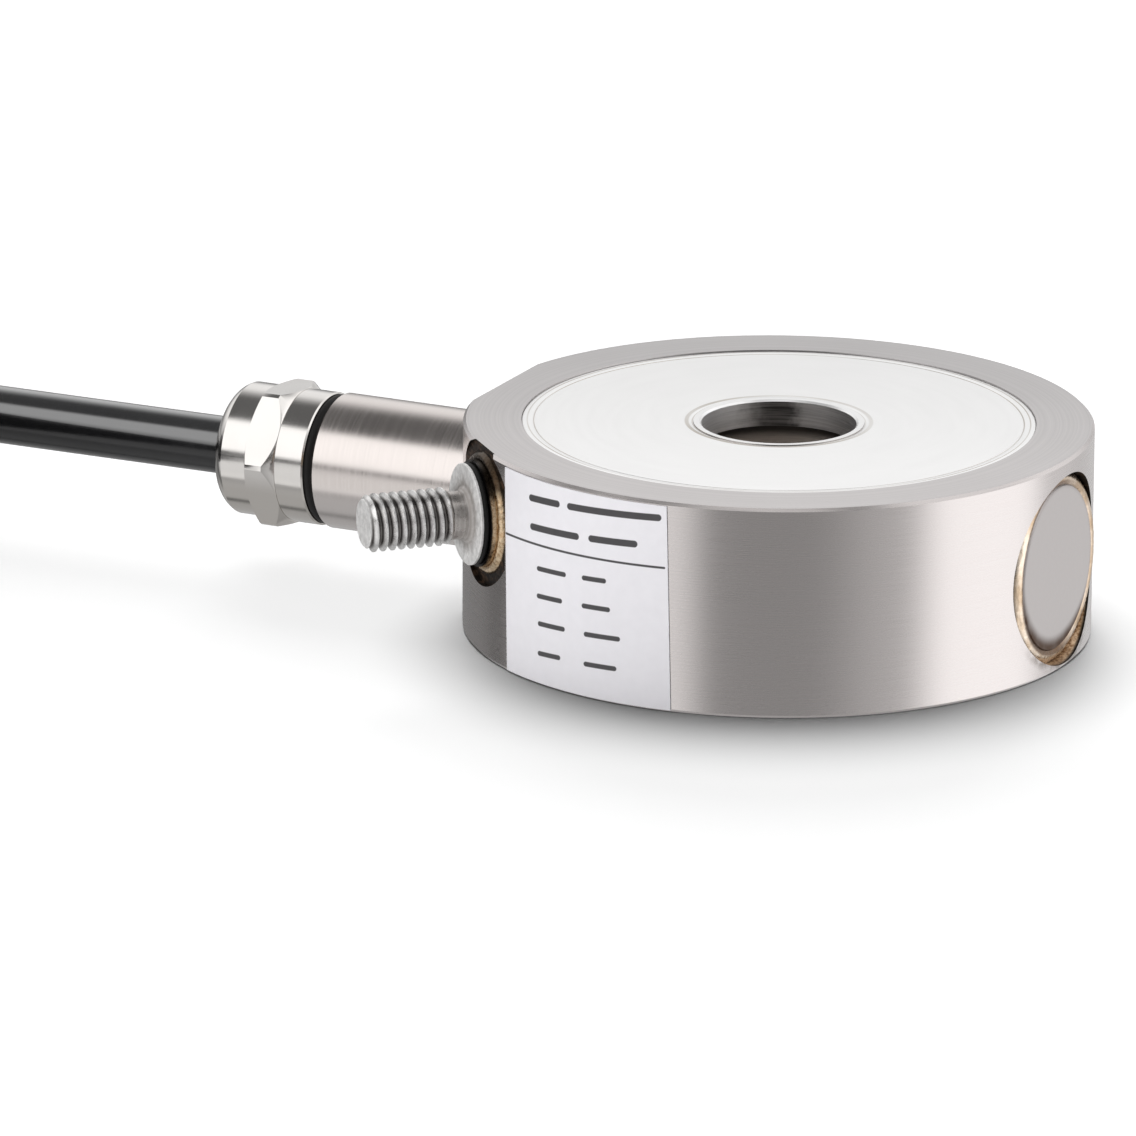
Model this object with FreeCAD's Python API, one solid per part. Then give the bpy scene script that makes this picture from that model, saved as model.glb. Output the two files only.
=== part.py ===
import FreeCAD, Part
import math
import os

# A ring torsion load cell: a welded stainless ring with a cable gland, an earth stud and a side cover.
# Millimetres. The Z axis is the ring's axis, the base is at height 0 and the cable leaves towards -X.

# Ring: the turned spring body
ring_diameter = 65.0
ring_height = 22.0
ring_edge_chamfer = 0.3
rim_inner_diameter = 53.0
rim_step = 0.15
seat_width = 1.5
bore_diameter = 16.0
bore_rim_width = 0.8
bore_edge_chamfer = 0.2
bore_groove_depth = 0.8
bore_groove_width = 2.6
bore_land = 2.8
collar_diameter = 22.0
web_thickness = 5.0
web_fillet = 1.2
diaphragm_thickness = 0.5
seam_height = 0.06
seam_width = 1.2
weld_fit = 0.02

# Flat and cable tube, on the side at 180 degrees
tube_bearing = 180.0
side_axis_height = 11.0
flat_depth = 1.2
tube_diameter = 14.3
tube_length = 19.4
tube_edge_chamfer = 0.4
tube_spigot_diameter = 11.0
tube_spigot_length = 2.5
tube_inner_bore = 8.0
tube_mouth_bore = 10.4
tube_mouth_depth = 10.9
tube_weld_leg = 0.5
tube_weld_throat = 0.18
wire_way_diameter = 9.0
wire_way_end = 21.0

# Cable gland
seal_ring_width = 0.85
seal_ring_diameter = 13.8
seal_ring_thickness = 1.3
seal_bulge = 0.2
nut_collar_diameter = 14.1
nut_collar_length = 3.25
nut_across_flats = 14.2
nut_corner_diameter = 16.1
nut_hex_length = 3.5
nut_hex_turn = 32.7
nut_neck_chamfer_angle = 30.0
nut_collar_chamfer_angle = 48.0
nut_neck_diameter = 14.0
nut_neck_length = 2.8
nut_dome_length = 1.6
nut_mouth_land = 1.3
nut_spigot_length = 4.95
cable_clearance = 0.25
gland_fit = 0.05
thrust_washer_thickness = 0.8

# Earth stud, on the side at 225 degrees
stud_bearing = 225.0
stud_height = 15.0
stud_spotface_diameter = 15.2
stud_spotface_depth = 0.6
stud_port_diameter = 8.0
boss_diameter = 11.0
boss_depth = 3.5
boss_stand = 1.25
stud_weld_sunk = 0.3
stud_weld_width = 0.8
stud_weld_height = 0.75
stud_weld_crown = 0.8
stud_weld_foot = 0.35
stud_gasket_diameter = 10.6
stud_gasket_thickness = 0.6
stud_gasket_bulge = 0.15
stud_flange_diameter = 10.5
stud_flange_thickness = 0.35
stud_flange_fillet = 0.6
stud_thread_diameter = 6.0
stud_neck_diameter = 5.0
stud_neck_length = 1.8
stud_length = 10.9
stud_end_chamfer = 0.7
stud_grip = 3.2

# Side cover, on the side at 0 degrees
cover_bearing = 0.0
cover_height = 10.4
cover_spotface_diameter = 20.0
cover_spotface_depth = 1.6
cover_diameter = 17.5
cover_thickness = 2.0
cover_stand = 0.5
cover_edge_chamfer = 0.15
cover_weld_width = 1.15
cover_weld_side = 0.35
cover_weld_height = 0.8
pocket_diameter = 14.0
pocket_step_depth = 3.4
pocket_throat_diameter = 11.0
pocket_end = 21.0

# Gauges, board and leads, sealed inside
gauge_thickness = 0.1
gauge_width = 2.2
inner_gauge_radius = 13.7
outer_gauge_radius = 19.0
gauge_lead_diameter = 0.5
gauge_lead_spacing = 0.8
board_thickness = 1.0
board_fit = 0.1
resistor_length = 2.0
resistor_width = 1.25
resistor_thickness = 0.6
resistor_spacing = 4.2
core_lead_diameter = 0.7
core_lead_pitch = 0.9
core_lead_radius = 15.8
core_lead_straight = 3.0
core_lead_rise_end = 26.0
core_lead_first_lane = 0.6
core_lead_board_lane = 2.2
core_lead_step = 30.0

# Label, wrapped on the curved side
label_clearance = 0.09
label_width = 22.35
label_foot = 0.1
label_top_margin = 0.3
label_thickness = 0.12

# Cable: a straight lead from the gland, a coil of the rest, and a tail on the coil
cable_diameter = 6.1
jacket_end = 36.0
coil_distance = 132.0
coil_turn_inner_radius = 24.4
coil_turn_outer_radius = 48.8
coil_layers = 3
coil_merge = 12.0
tail_dip = 3.6
tie_thickness = 0.8
tie_width = 4.0
tie_bearings = (55.0, 305.0)
core_diameter = 1.1
core_lane_pitch = 1.2
core_swing_out = 2.0
ferrule_diameter = 1.5
ferrule_length = 7.0

# Values worked out from the sizes above
ring_radius = ring_diameter / 2
bore_radius = bore_diameter / 2
rim_inner_radius = rim_inner_diameter / 2
collar_radius = collar_diameter / 2
cable_radius = cable_diameter / 2
flat_distance = ring_radius - flat_depth
stud_spotface_distance = ring_radius - stud_spotface_depth
cover_spotface_distance = ring_radius - cover_spotface_depth
tube_end = flat_distance + tube_length
nut_start = tube_end + seal_ring_width
nut_end = nut_start + nut_collar_length + nut_hex_length + nut_neck_length + nut_dome_length
cable_hole_radius = cable_radius + cable_clearance
web_top = (ring_height + web_thickness) / 2
web_bottom = (ring_height - web_thickness) / 2
boss_base = stud_spotface_distance - boss_depth
boss_face = stud_spotface_distance + boss_stand
stud_weld_base = stud_spotface_distance - stud_weld_sunk
stud_weld_outer = boss_diameter / 2 + weld_fit + stud_weld_width
label_middle = stud_weld_outer + label_clearance + label_width / 2
label_bearing = stud_bearing + math.degrees(label_middle / ring_radius)
flange_seat = boss_face + stud_gasket_thickness
cover_face = cover_spotface_distance + cover_stand
cover_back = cover_face - cover_thickness
pocket_step_distance = cover_back - pocket_step_depth
board_face = pocket_step_distance + board_thickness
coil_centre = FreeCAD.Vector(-coil_distance, -coil_turn_outer_radius, 0.0)
coil_top = tie_thickness + coil_layers * cable_diameter
tail_height = coil_top + cable_radius

# The cable's route, chosen by hand: straight out of the gland, down to the floor and onto the coil's outside
lead_route = [
    FreeCAD.Vector(-jacket_end, 0.0, side_axis_height),
    FreeCAD.Vector(-101.0, 0.0, side_axis_height),
    FreeCAD.Vector(-117.0, 0.0, tie_thickness + cable_radius),
    FreeCAD.Vector(-coil_distance, 0.0, tie_thickness + cable_radius),
]
# The tail climbs out of the coil's last turn and lies on its top. These points count from the coil's centre
tail_route = [
    FreeCAD.Vector(0.0, 24.4, tail_height - cable_diameter),
    FreeCAD.Vector(-12.4, 22.7, tail_height - tail_dip),
    FreeCAD.Vector(-23.3, 16.4, tail_height - 1.3),
    FreeCAD.Vector(-31.0, 6.6, tail_height),
    FreeCAD.Vector(-34.8, -5.0, tail_height),
    FreeCAD.Vector(-34.3, -17.0, tail_height),
    FreeCAD.Vector(-29.4, -27.5, tail_height),
]
# Each core's steps from the jacket's end: turn about the coil, spread per lane, height over the coil
core_steps = (
    (13.0, 1.4, 1.3),
    (26.0, 1.9, 0.3),
    (39.0, 2.4, 0.0),
    (52.0, 3.0, 0.0),
)
core_names = ("core_end_pink", "core_end_grey", "core_end_brown", "core_end_white", "shield_tail")

ORIGIN = FreeCAD.Vector(0, 0, 0)
X_AXIS = FreeCAD.Vector(1, 0, 0)
Y_AXIS = FreeCAD.Vector(0, 1, 0)
Z_AXIS = FreeCAD.Vector(0, 0, 1)
ARC_SHARE = 0.45


def turned(outline):
    """Revolve a closed outline of (radius, height) corners about Z.

    A corner of four numbers is reached by an arc that passes through its last two.
    """
    edges = []
    previous = outline[-1]
    for corner in outline:
        start = FreeCAD.Vector(previous[0], 0, previous[1])
        end = FreeCAD.Vector(corner[0], 0, corner[1])
        if len(corner) == 4:
            through = FreeCAD.Vector(corner[2], 0, corner[3])
            edges.append(Part.Arc(start, through, end).toShape())
        else:
            edges.append(Part.LineSegment(start, end).toShape())
        previous = corner
    return Part.Face(Part.Wire(edges)).revolve(ORIGIN, Z_AXIS, 360)


def round_corner(centre_r, centre_z, radius, end_angle, half_angle):
    """The end and the middle of an arc about a centre, as one corner for turned()."""
    end = math.radians(end_angle)
    half = math.radians(half_angle)
    return (
        centre_r + radius * math.cos(end),
        centre_z + radius * math.sin(end),
        centre_r + radius * math.cos(half),
        centre_z + radius * math.sin(half),
    )


def on_radius(shape, bearing, height):
    """Lay a shape that was made along Z on the ring's radius at a bearing and a height."""
    laid = shape.copy()
    laid.rotate(ORIGIN, Y_AXIS, 90)
    laid.rotate(ORIGIN, Z_AXIS, bearing)
    laid.translate(Z_AXIS * height)
    return laid


def drill(diameter, start, end):
    """A cylinder along Z between two distances, to be laid on a radius."""
    return Part.makeCylinder(diameter / 2, end - start, Z_AXIS * start)


def weld_ring(inner_radius, width, base, inner_height, crown_height, outer_height):
    """A weld bead: a ring with a flat foot, upright sides of their own heights and a crowned face."""
    outer_radius = inner_radius + width
    crown = inner_radius + width / 2
    return turned([
        (inner_radius, base),
        (outer_radius, base),
        (outer_radius, base + outer_height),
        (inner_radius, base + inner_height, crown, base + crown_height),
    ])


def tube_along(points, diameter, name=""):
    """A round tube along straight runs joined by tangent arcs, as large as the runs allow."""
    edges = []
    radii = []
    place = points[0]
    for before, corner, after in zip(points, points[1:], points[2:]):
        back = before - corner
        on = after - corner
        tangent = ARC_SHARE * min(back.Length, on.Length)
        back.normalize()
        on.normalize()
        half_turn = (math.pi - back.getAngle(on)) / 2
        radius = tangent / math.tan(half_turn)
        inward = back + on
        inward.normalize()
        middle = corner + inward * (math.hypot(tangent, radius) - radius)
        edges.append(Part.LineSegment(place, corner + back * tangent).toShape())
        edges.append(Part.Arc(corner + back * tangent, middle, corner + on * tangent).toShape())
        radii.append(round(radius, 1))
        place = corner + on * tangent
    edges.append(Part.LineSegment(place, points[-1]).toShape())
    path = Part.Wire(edges)
    section = Part.Wire(Part.makeCircle(diameter / 2, points[0], points[1] - points[0]))
    tube = path.makePipeShell([section], True, False)
    if name:
        ideal = math.pi * diameter**2 / 4 * path.Length
        print(name, "length", round(path.Length, 1), "radii", radii, "volume", round(tube.Volume / ideal, 4))
    return tube


def spring_body():
    """The turned ring: rim and collar, joined by the torsion web, then the flat, the ports and spotfaces."""
    top = ring_height
    seat = ring_height - rim_step - diaphragm_thickness
    collar_top = ring_height - rim_step
    seat_edge = rim_inner_radius - seat_width
    collar_seat = bore_radius + bore_rim_width
    groove_top = collar_top - bore_land
    groove_bottom = groove_top - bore_groove_width
    groove_radius = bore_radius + bore_groove_depth
    fillet = web_fillet
    low_seat = ring_height - seat
    low_collar = ring_height - collar_top
    blank = turned([
        (ring_radius - ring_edge_chamfer, 0),
        (ring_radius, ring_edge_chamfer),
        (ring_radius, top - ring_edge_chamfer),
        (ring_radius - ring_edge_chamfer, top),
        (rim_inner_radius, top),
        (rim_inner_radius, seat),
        (seat_edge, seat),
        (seat_edge, web_top + fillet),
        round_corner(seat_edge - fillet, web_top + fillet, fillet, 270, 315),
        (collar_radius + fillet, web_top),
        round_corner(collar_radius + fillet, web_top + fillet, fillet, 180, 225),
        (collar_radius, seat),
        (collar_seat, seat),
        (collar_seat, collar_top),
        (bore_radius + bore_edge_chamfer, collar_top),
        (bore_radius, collar_top - bore_edge_chamfer),
        (bore_radius, groove_top),
        (groove_radius, groove_top),
        (groove_radius, groove_bottom),
        (bore_radius, groove_bottom),
        (bore_radius, low_collar + bore_edge_chamfer),
        (bore_radius + bore_edge_chamfer, low_collar),
        (collar_seat, low_collar),
        (collar_seat, low_seat),
        (collar_radius, low_seat),
        (collar_radius, web_bottom - fillet),
        round_corner(collar_radius + fillet, web_bottom - fillet, fillet, 90, 135),
        (seat_edge - fillet, web_bottom),
        round_corner(seat_edge - fillet, web_bottom - fillet, fillet, 0, 45),
        (seat_edge, low_seat),
        (rim_inner_radius, low_seat),
        (rim_inner_radius, 0),
    ])
    beyond = ring_radius + tube_length
    flat = Part.makeBox(
        beyond, ring_diameter, ring_height, FreeCAD.Vector(flat_distance, -ring_radius, -side_axis_height)
    )
    flat.rotate(ORIGIN, Z_AXIS, tube_bearing)
    flat.translate(Z_AXIS * side_axis_height)
    spigot_end = flat_distance - tube_spigot_length
    tube_port = drill(tube_spigot_diameter + 2 * weld_fit, spigot_end, beyond)
    tube_port = tube_port.fuse(drill(wire_way_diameter, wire_way_end, beyond))
    stud_port = drill(stud_spotface_diameter, stud_spotface_distance, beyond)
    stud_port = stud_port.fuse(drill(2 * (stud_weld_outer + weld_fit), stud_weld_base, beyond))
    stud_port = stud_port.fuse(drill(boss_diameter + 2 * weld_fit, boss_base, beyond))
    stud_port = stud_port.fuse(drill(stud_port_diameter, seat_edge - fillet, beyond))
    cover_port = drill(cover_spotface_diameter, cover_spotface_distance, beyond)
    cover_port = cover_port.fuse(drill(cover_diameter + 2 * weld_fit, cover_back, beyond))
    cover_port = cover_port.fuse(drill(pocket_diameter, pocket_step_distance, beyond))
    cover_port = cover_port.fuse(drill(pocket_throat_diameter, pocket_end, beyond))
    return blank.cut([
        flat,
        on_radius(tube_port, tube_bearing, side_axis_height),
        on_radius(stud_port, stud_bearing, stud_height),
        on_radius(cover_port, cover_bearing, cover_height),
    ])


def diaphragm():
    """A thin sheet ring with a raised seam where its two edges are welded. Its underside is at height 0."""
    inner = bore_radius + bore_rim_width + weld_fit
    outer = rim_inner_radius - weld_fit
    face = diaphragm_thickness
    half = seam_width / 2
    return turned([
        (inner, 0),
        (outer, 0),
        (outer, face),
        (outer - seam_width, face, outer - half, face + seam_height),
        (inner + seam_width, face),
        (inner, face, inner + half, face + seam_height),
    ])


def gauge(radius, height):
    """A ring strain gauge: a thin foil ring on one face of the torsion web."""
    inner = radius - gauge_width / 2
    outer = radius + gauge_width / 2
    top = height + gauge_thickness
    return turned([(inner, height), (outer, height), (outer, top), (inner, top)])


def terminal_board():
    """The round board that rests on the step of the side pocket."""
    board = drill(pocket_diameter - 2 * board_fit, pocket_step_distance, board_face)
    return on_radius(board, cover_bearing, cover_height)


def trim_resistors():
    """Four chips in a square on the board's outer face."""
    chips = []
    for across in (-0.5, 0.5):
        for up in (-0.5, 0.5):
            corner = FreeCAD.Vector(
                across * resistor_spacing - resistor_length / 2,
                up * resistor_spacing - resistor_width / 2,
                board_face,
            )
            chips.append(Part.makeBox(resistor_length, resistor_width, resistor_thickness, corner))
    return on_radius(Part.makeCompound(chips), cover_bearing, cover_height)


def gauge_leads():
    """Two leads from each ring gauge, straight along the web to the board's inner face."""
    rise = gauge_thickness + gauge_lead_diameter / 2
    leads = []
    for height in (web_top + rise, web_bottom - rise):
        for radius, place in ((inner_gauge_radius, 0.5), (outer_gauge_radius, 1.5)):
            for side in (-1, 1):
                lead = drill(gauge_lead_diameter, radius, pocket_step_distance)
                lead.translate(Y_AXIS * (side * place * gauge_lead_spacing))
                leads.append(on_radius(lead, cover_bearing, height))
    return Part.makeCompound(leads)


def core_leads():
    """The cable's four cores: out of the jacket, up to the web, half round the collar and to the board."""
    lie = web_top + gauge_thickness + core_lead_diameter / 2
    leads = []
    for side in (-1, 1):
        for lane in (0, 1):
            radius = core_lead_radius + lane * core_lead_pitch
            near = (lane + core_lead_first_lane) * core_lead_pitch
            far = (lane + core_lead_board_lane) * core_lead_pitch
            spread = side * core_lead_pitch
            start_height = side_axis_height + (1 - 2 * lane) * core_lead_pitch
            corner_radius = radius / math.cos(math.radians(core_lead_step / 2))
            route = [
                FreeCAD.Vector(-jacket_end, spread, start_height),
                FreeCAD.Vector(-jacket_end + core_lead_straight, spread, start_height),
                FreeCAD.Vector(-core_lead_rise_end, side * near, lie),
                FreeCAD.Vector(-radius, side * near, lie),
            ]
            for step in range(1, 6):
                turn = math.radians(180 - step * core_lead_step)
                across = corner_radius * math.sin(turn)
                route.append(FreeCAD.Vector(corner_radius * math.cos(turn), side * across, lie))
            route.append(FreeCAD.Vector(radius, side * far, lie))
            route.append(FreeCAD.Vector(pocket_step_distance, side * far, lie))
            leads.append(tube_along(route, core_lead_diameter))
    return Part.makeCompound(leads)


def port_cover():
    """The disc that closes the side pocket."""
    radius = cover_diameter / 2
    disc = turned([
        (0, cover_back),
        (radius, cover_back),
        (radius, cover_face - cover_edge_chamfer),
        (radius - cover_edge_chamfer, cover_face),
        (0, cover_face),
    ])
    return on_radius(disc, cover_bearing, cover_height)


def cover_weld():
    """The bead round the side cover, on its spotface."""
    ring = weld_ring(
        cover_diameter / 2 + weld_fit,
        cover_weld_width,
        cover_spotface_distance,
        cover_weld_side,
        cover_weld_height,
        cover_weld_side,
    )
    return on_radius(ring, cover_bearing, cover_height)


def stud_boss():
    """The round plug that closes the stud's port and takes its thread."""
    radius = boss_diameter / 2
    hole = stud_thread_diameter / 2 + weld_fit
    hole_end = boss_face - stud_grip
    plug = turned([
        (0, boss_base),
        (radius, boss_base),
        (radius, boss_face),
        (hole, boss_face),
        (hole, hole_end),
        (0, hole_end),
    ])
    return on_radius(plug, stud_bearing, stud_height)


def stud_weld():
    """The bead round the stud's plug, in a groove of its spotface."""
    ring = weld_ring(
        boss_diameter / 2 + weld_fit,
        stud_weld_width,
        stud_weld_base,
        stud_weld_height,
        stud_weld_crown,
        stud_weld_foot,
    )
    return on_radius(ring, stud_bearing, stud_height)


def stud_gasket():
    """The black ring between the plug and the stud's flange, bulged by the pressure."""
    radius = stud_gasket_diameter / 2
    hole = stud_thread_diameter / 2 + weld_fit
    ring = turned([
        (hole, boss_face),
        (radius - stud_gasket_bulge, boss_face),
        (radius - stud_gasket_bulge, flange_seat, radius, (boss_face + flange_seat) / 2),
        (hole, flange_seat),
    ])
    return on_radius(ring, stud_bearing, stud_height)


def ground_stud():
    """The earth stud: a threaded end in the plug, a flange, a neck and a threaded end outside."""
    thread = stud_thread_diameter / 2
    neck = stud_neck_diameter / 2
    flange = stud_flange_diameter / 2
    face = flange_seat + stud_flange_thickness
    fillet = stud_flange_fillet
    end = face + stud_length
    neck_end = face + stud_neck_length
    slope = thread - neck
    stud = turned([
        (0, boss_face - stud_grip),
        (thread, boss_face - stud_grip),
        (thread, flange_seat),
        (flange, flange_seat),
        (flange, face),
        (neck + fillet, face),
        round_corner(neck + fillet, face + fillet, fillet, 180, 225),
        (neck, neck_end),
        (thread, neck_end + slope),
        (thread, end - stud_end_chamfer),
        (thread - stud_end_chamfer, end),
        (0, end),
    ])
    return on_radius(stud, stud_bearing, stud_height)


def cable_tube():
    """The tube on the flat: a spigot in the body, a narrow cable way and a wide mouth for the gland."""
    outer = tube_diameter / 2
    spigot = tube_spigot_diameter / 2
    inner = tube_inner_bore / 2
    mouth = tube_mouth_bore / 2
    spigot_end = flat_distance - tube_spigot_length
    shoulder = tube_end - tube_mouth_depth
    tube = turned([
        (inner, spigot_end),
        (spigot, spigot_end),
        (spigot, flat_distance),
        (outer, flat_distance),
        (outer, tube_end - tube_edge_chamfer),
        (outer - tube_edge_chamfer, tube_end),
        (mouth, tube_end),
        (mouth, shoulder),
        (inner, shoulder),
    ])
    return on_radius(tube, tube_bearing, side_axis_height)


def tube_weld():
    """The small fillet weld at the tube's foot."""
    inner = tube_diameter / 2 + weld_fit
    ring = turned([
        (inner, flat_distance),
        (inner + tube_weld_leg, flat_distance),
        (inner, flat_distance + tube_weld_leg, inner + tube_weld_throat, flat_distance + tube_weld_throat),
    ])
    return on_radius(ring, tube_bearing, side_axis_height)


def gland_seal_ring():
    """The black ring that the nut presses on the tube's end, bulged outside."""
    outer = seal_ring_diameter / 2
    inner = outer - seal_ring_thickness
    middle = tube_end + seal_ring_width / 2
    ring = turned([
        (inner, tube_end),
        (outer - seal_bulge, tube_end),
        (outer - seal_bulge, nut_start, outer, middle),
        (inner, nut_start),
    ])
    return on_radius(ring, tube_bearing, side_axis_height)


def gland_nut():
    """The domed gland nut: a spigot in the tube, a collar, a hexagon, a neck and a dome round the cable."""
    spigot = tube_mouth_bore / 2 - gland_fit
    collar = nut_collar_diameter / 2
    neck = nut_neck_diameter / 2
    hole = cable_hole_radius
    flats = nut_across_flats / 2
    corner = flats / math.cos(math.pi / 6)
    turned_corner = nut_corner_diameter / 2
    corner_height = turned_corner - flats
    collar_slope = corner_height * math.tan(math.radians(nut_collar_chamfer_angle))
    neck_slope = corner_height * math.tan(math.radians(nut_neck_chamfer_angle))
    hex_start = nut_start + nut_collar_length
    hex_end = hex_start + nut_hex_length
    dome_start = hex_end + nut_neck_length
    lip = hole + nut_mouth_land
    dome_radius = ((neck - lip) ** 2 + nut_dome_length ** 2) / (2 * nut_dome_length)
    dome_edge = math.asin(1 - nut_dome_length / dome_radius)
    dome_middle = (dome_edge + math.pi / 2) / 2
    dome_mid_r = lip + dome_radius * math.cos(dome_middle)
    dome_mid_z = nut_end - dome_radius * (1 - math.sin(dome_middle))
    round_part = turned([
        (hole, nut_start - nut_spigot_length),
        (spigot, nut_start - nut_spigot_length),
        (spigot, nut_start),
        (collar, nut_start),
        (collar, hex_start),
        (neck, hex_end),
        (neck, dome_start),
        (lip, nut_end, dome_mid_r, dome_mid_z),
        (hole, nut_end),
    ])
    hexagon = [
        FreeCAD.Vector(corner * math.cos(turn), corner * math.sin(turn), hex_start)
        for turn in (math.radians(nut_hex_turn + 60 * side) for side in range(7))
    ]
    prism = Part.Face(Part.makePolygon(hexagon)).extrude(Z_AXIS * nut_hex_length)
    chamfers = turned([
        (hole, hex_start),
        (flats, hex_start),
        (turned_corner, hex_start + collar_slope),
        (turned_corner, hex_end - neck_slope),
        (flats, hex_end),
        (hole, hex_end),
    ])
    nut = round_part.fuse(prism.common(chamfers)).removeSplitter()
    return on_radius(nut, tube_bearing, side_axis_height)


def seal_bush():
    """The rubber bush that the nut squeezes on the cable."""
    start = tube_end - tube_mouth_depth
    end = nut_start - nut_spigot_length - thrust_washer_thickness
    outer = tube_mouth_bore / 2 - gland_fit
    bush = turned([(cable_radius, start), (outer, start), (outer, end), (cable_radius, end)])
    return on_radius(bush, tube_bearing, side_axis_height)


def thrust_washer():
    """The washer that keeps the turning nut off the rubber."""
    end = nut_start - nut_spigot_length
    start = end - thrust_washer_thickness
    outer = tube_mouth_bore / 2 - gland_fit
    washer = turned([(cable_hole_radius, start), (outer, start), (outer, end), (cable_hole_radius, end)])
    return on_radius(washer, tube_bearing, side_axis_height)


def label():
    """The sticker, a thin sheet wrapped on the ring's side."""
    span = math.degrees(label_width / ring_radius)
    height = ring_height - label_foot - label_top_margin
    foot = Z_AXIS * label_foot
    outer = Part.makeCylinder(ring_radius + label_thickness, height, foot, Z_AXIS, span)
    inner = Part.makeCylinder(ring_radius, height, foot)
    sheet = outer.cut(inner)
    sheet.rotate(ORIGIN, Z_AXIS, label_bearing - span / 2)
    return sheet


def cable_coil():
    """The outer shape of the tied coil: a ring with rounded edges."""
    inner = coil_turn_inner_radius - cable_radius
    outer = coil_turn_outer_radius + cable_radius
    edge = cable_radius
    coil = turned([
        (outer - edge, tie_thickness),
        round_corner(outer - edge, tie_thickness + edge, edge, 0, -45),
        (outer, coil_top - edge),
        round_corner(outer - edge, coil_top - edge, edge, 90, 45),
        (inner + edge, coil_top),
        round_corner(inner + edge, coil_top - edge, edge, 180, 135),
        (inner, tie_thickness + edge),
        round_corner(inner + edge, tie_thickness + edge, edge, 270, 225),
    ])
    coil.translate(coil_centre)
    return coil


def cable_run(coil):
    """The lead from the gland to the coil. It ends where the coil's outer turn takes it up."""
    lead = tube_along(lead_route, cable_diameter, "cable_run")
    merge = coil_centre + X_AXIS * coil_merge
    reach = coil_turn_outer_radius + cable_diameter
    past = Part.makeBox(reach, 2 * reach, 2 * reach, merge - FreeCAD.Vector(reach, 0, reach))
    return lead.cut([past, coil])


def coil_ties(coil):
    """The straps round the coil's turns. The coil lies on them."""
    inner = coil_turn_inner_radius - cable_radius - tie_thickness
    outer = coil_turn_outer_radius + cable_radius + tie_thickness
    edge = cable_radius + tie_thickness
    block = Part.makeBox(
        outer - inner, tie_width, coil_top + tie_thickness, FreeCAD.Vector(inner, -tie_width / 2, 0)
    )
    long_edges = [
        line for line in block.Edges
        if abs(line.Vertexes[0].Point.y - line.Vertexes[1].Point.y) > tie_width / 2
    ]
    block = block.makeFillet(edge, long_edges)
    straps = []
    for bearing in tie_bearings:
        strap = block.copy()
        strap.rotate(ORIGIN, Z_AXIS, bearing)
        strap.translate(coil_centre)
        straps.append(strap.cut(coil))
    return Part.makeCompound(straps)


def core_route(lane):
    """One core's way from the jacket's end over the coil's top, counted from the coil's centre."""
    end = tail_route[-1]
    on = end - tail_route[-2]
    on.normalize()
    aside = on.cross(Z_AXIS)
    start = end + aside * (lane * core_lane_pitch)
    start_bearing = math.degrees(math.atan2(end.y, end.x))
    start_radius = math.hypot(end.x, end.y)
    lie = coil_top + core_diameter / 2
    route = [start]
    for turn, spread, rise in core_steps:
        bearing = math.radians(start_bearing + turn)
        radius = start_radius + core_swing_out + lane * spread
        route.append(FreeCAD.Vector(radius * math.cos(bearing), radius * math.sin(bearing), lie + rise))
    return [point + coil_centre for point in route]


def core_ferrules(routes):
    """A crimped sleeve on the end of each core."""
    sleeves = []
    for route in routes:
        direction = route[-1] - route[-2]
        direction.normalize()
        foot = route[-1] + Z_AXIS * ((ferrule_diameter - core_diameter) / 2)
        sleeves.append(Part.makeCylinder(ferrule_diameter / 2, ferrule_length, foot, direction))
    return Part.makeCompound(sleeves)


def build():
    """Every node of the part, by name."""
    top_diaphragm = diaphragm()
    top_diaphragm.translate(Z_AXIS * (ring_height - rim_step - diaphragm_thickness))
    bottom_diaphragm = diaphragm()
    bottom_diaphragm.rotate(ORIGIN, X_AXIS, 180)
    bottom_diaphragm.translate(Z_AXIS * (rim_step + diaphragm_thickness))
    coil = cable_coil()
    tail = tube_along([point + coil_centre for point in tail_route], cable_diameter, "cable_tail")
    core_routes = [core_route(lane) for lane in (-2, -1, 0, 1, 2)]
    nodes = {
        "spring_body": spring_body(),
        "top_diaphragm": top_diaphragm,
        "bottom_diaphragm": bottom_diaphragm,
        "gauge_upper_inner": gauge(inner_gauge_radius, web_top),
        "gauge_upper_outer": gauge(outer_gauge_radius, web_top),
        "gauge_lower_inner": gauge(inner_gauge_radius, web_bottom - gauge_thickness),
        "gauge_lower_outer": gauge(outer_gauge_radius, web_bottom - gauge_thickness),
        "terminal_board": terminal_board(),
        "trim_resistors": trim_resistors(),
        "gauge_leads": gauge_leads(),
        "core_leads": core_leads(),
        "port_cover": port_cover(),
        "cover_weld": cover_weld(),
        "stud_boss": stud_boss(),
        "stud_weld": stud_weld(),
        "stud_gasket": stud_gasket(),
        "ground_stud": ground_stud(),
        "cable_tube": cable_tube(),
        "tube_weld": tube_weld(),
        "gland_seal_ring": gland_seal_ring(),
        "gland_nut": gland_nut(),
        "seal_bush": seal_bush(),
        "thrust_washer": thrust_washer(),
        "label": label(),
        "cable_run": cable_run(coil),
        "cable_coil": coil,
        "cable_tail": tail.cut(coil),
        "coil_ties": coil_ties(coil),
        "core_ferrules": core_ferrules(core_routes),
    }
    for name, route in zip(core_names, core_routes):
        nodes[name] = tube_along(route, core_diameter).cut(tail)
    return nodes


os.makedirs("parts", exist_ok=True)
for node, shape in build().items():
    print(node, "solids", len(shape.Solids), "valid", shape.isValid(), "volume", round(shape.Volume, 2))
    shape.exportStep("parts/" + node + ".step")
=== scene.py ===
import math

import bpy
from mathutils import Matrix, Vector


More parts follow.
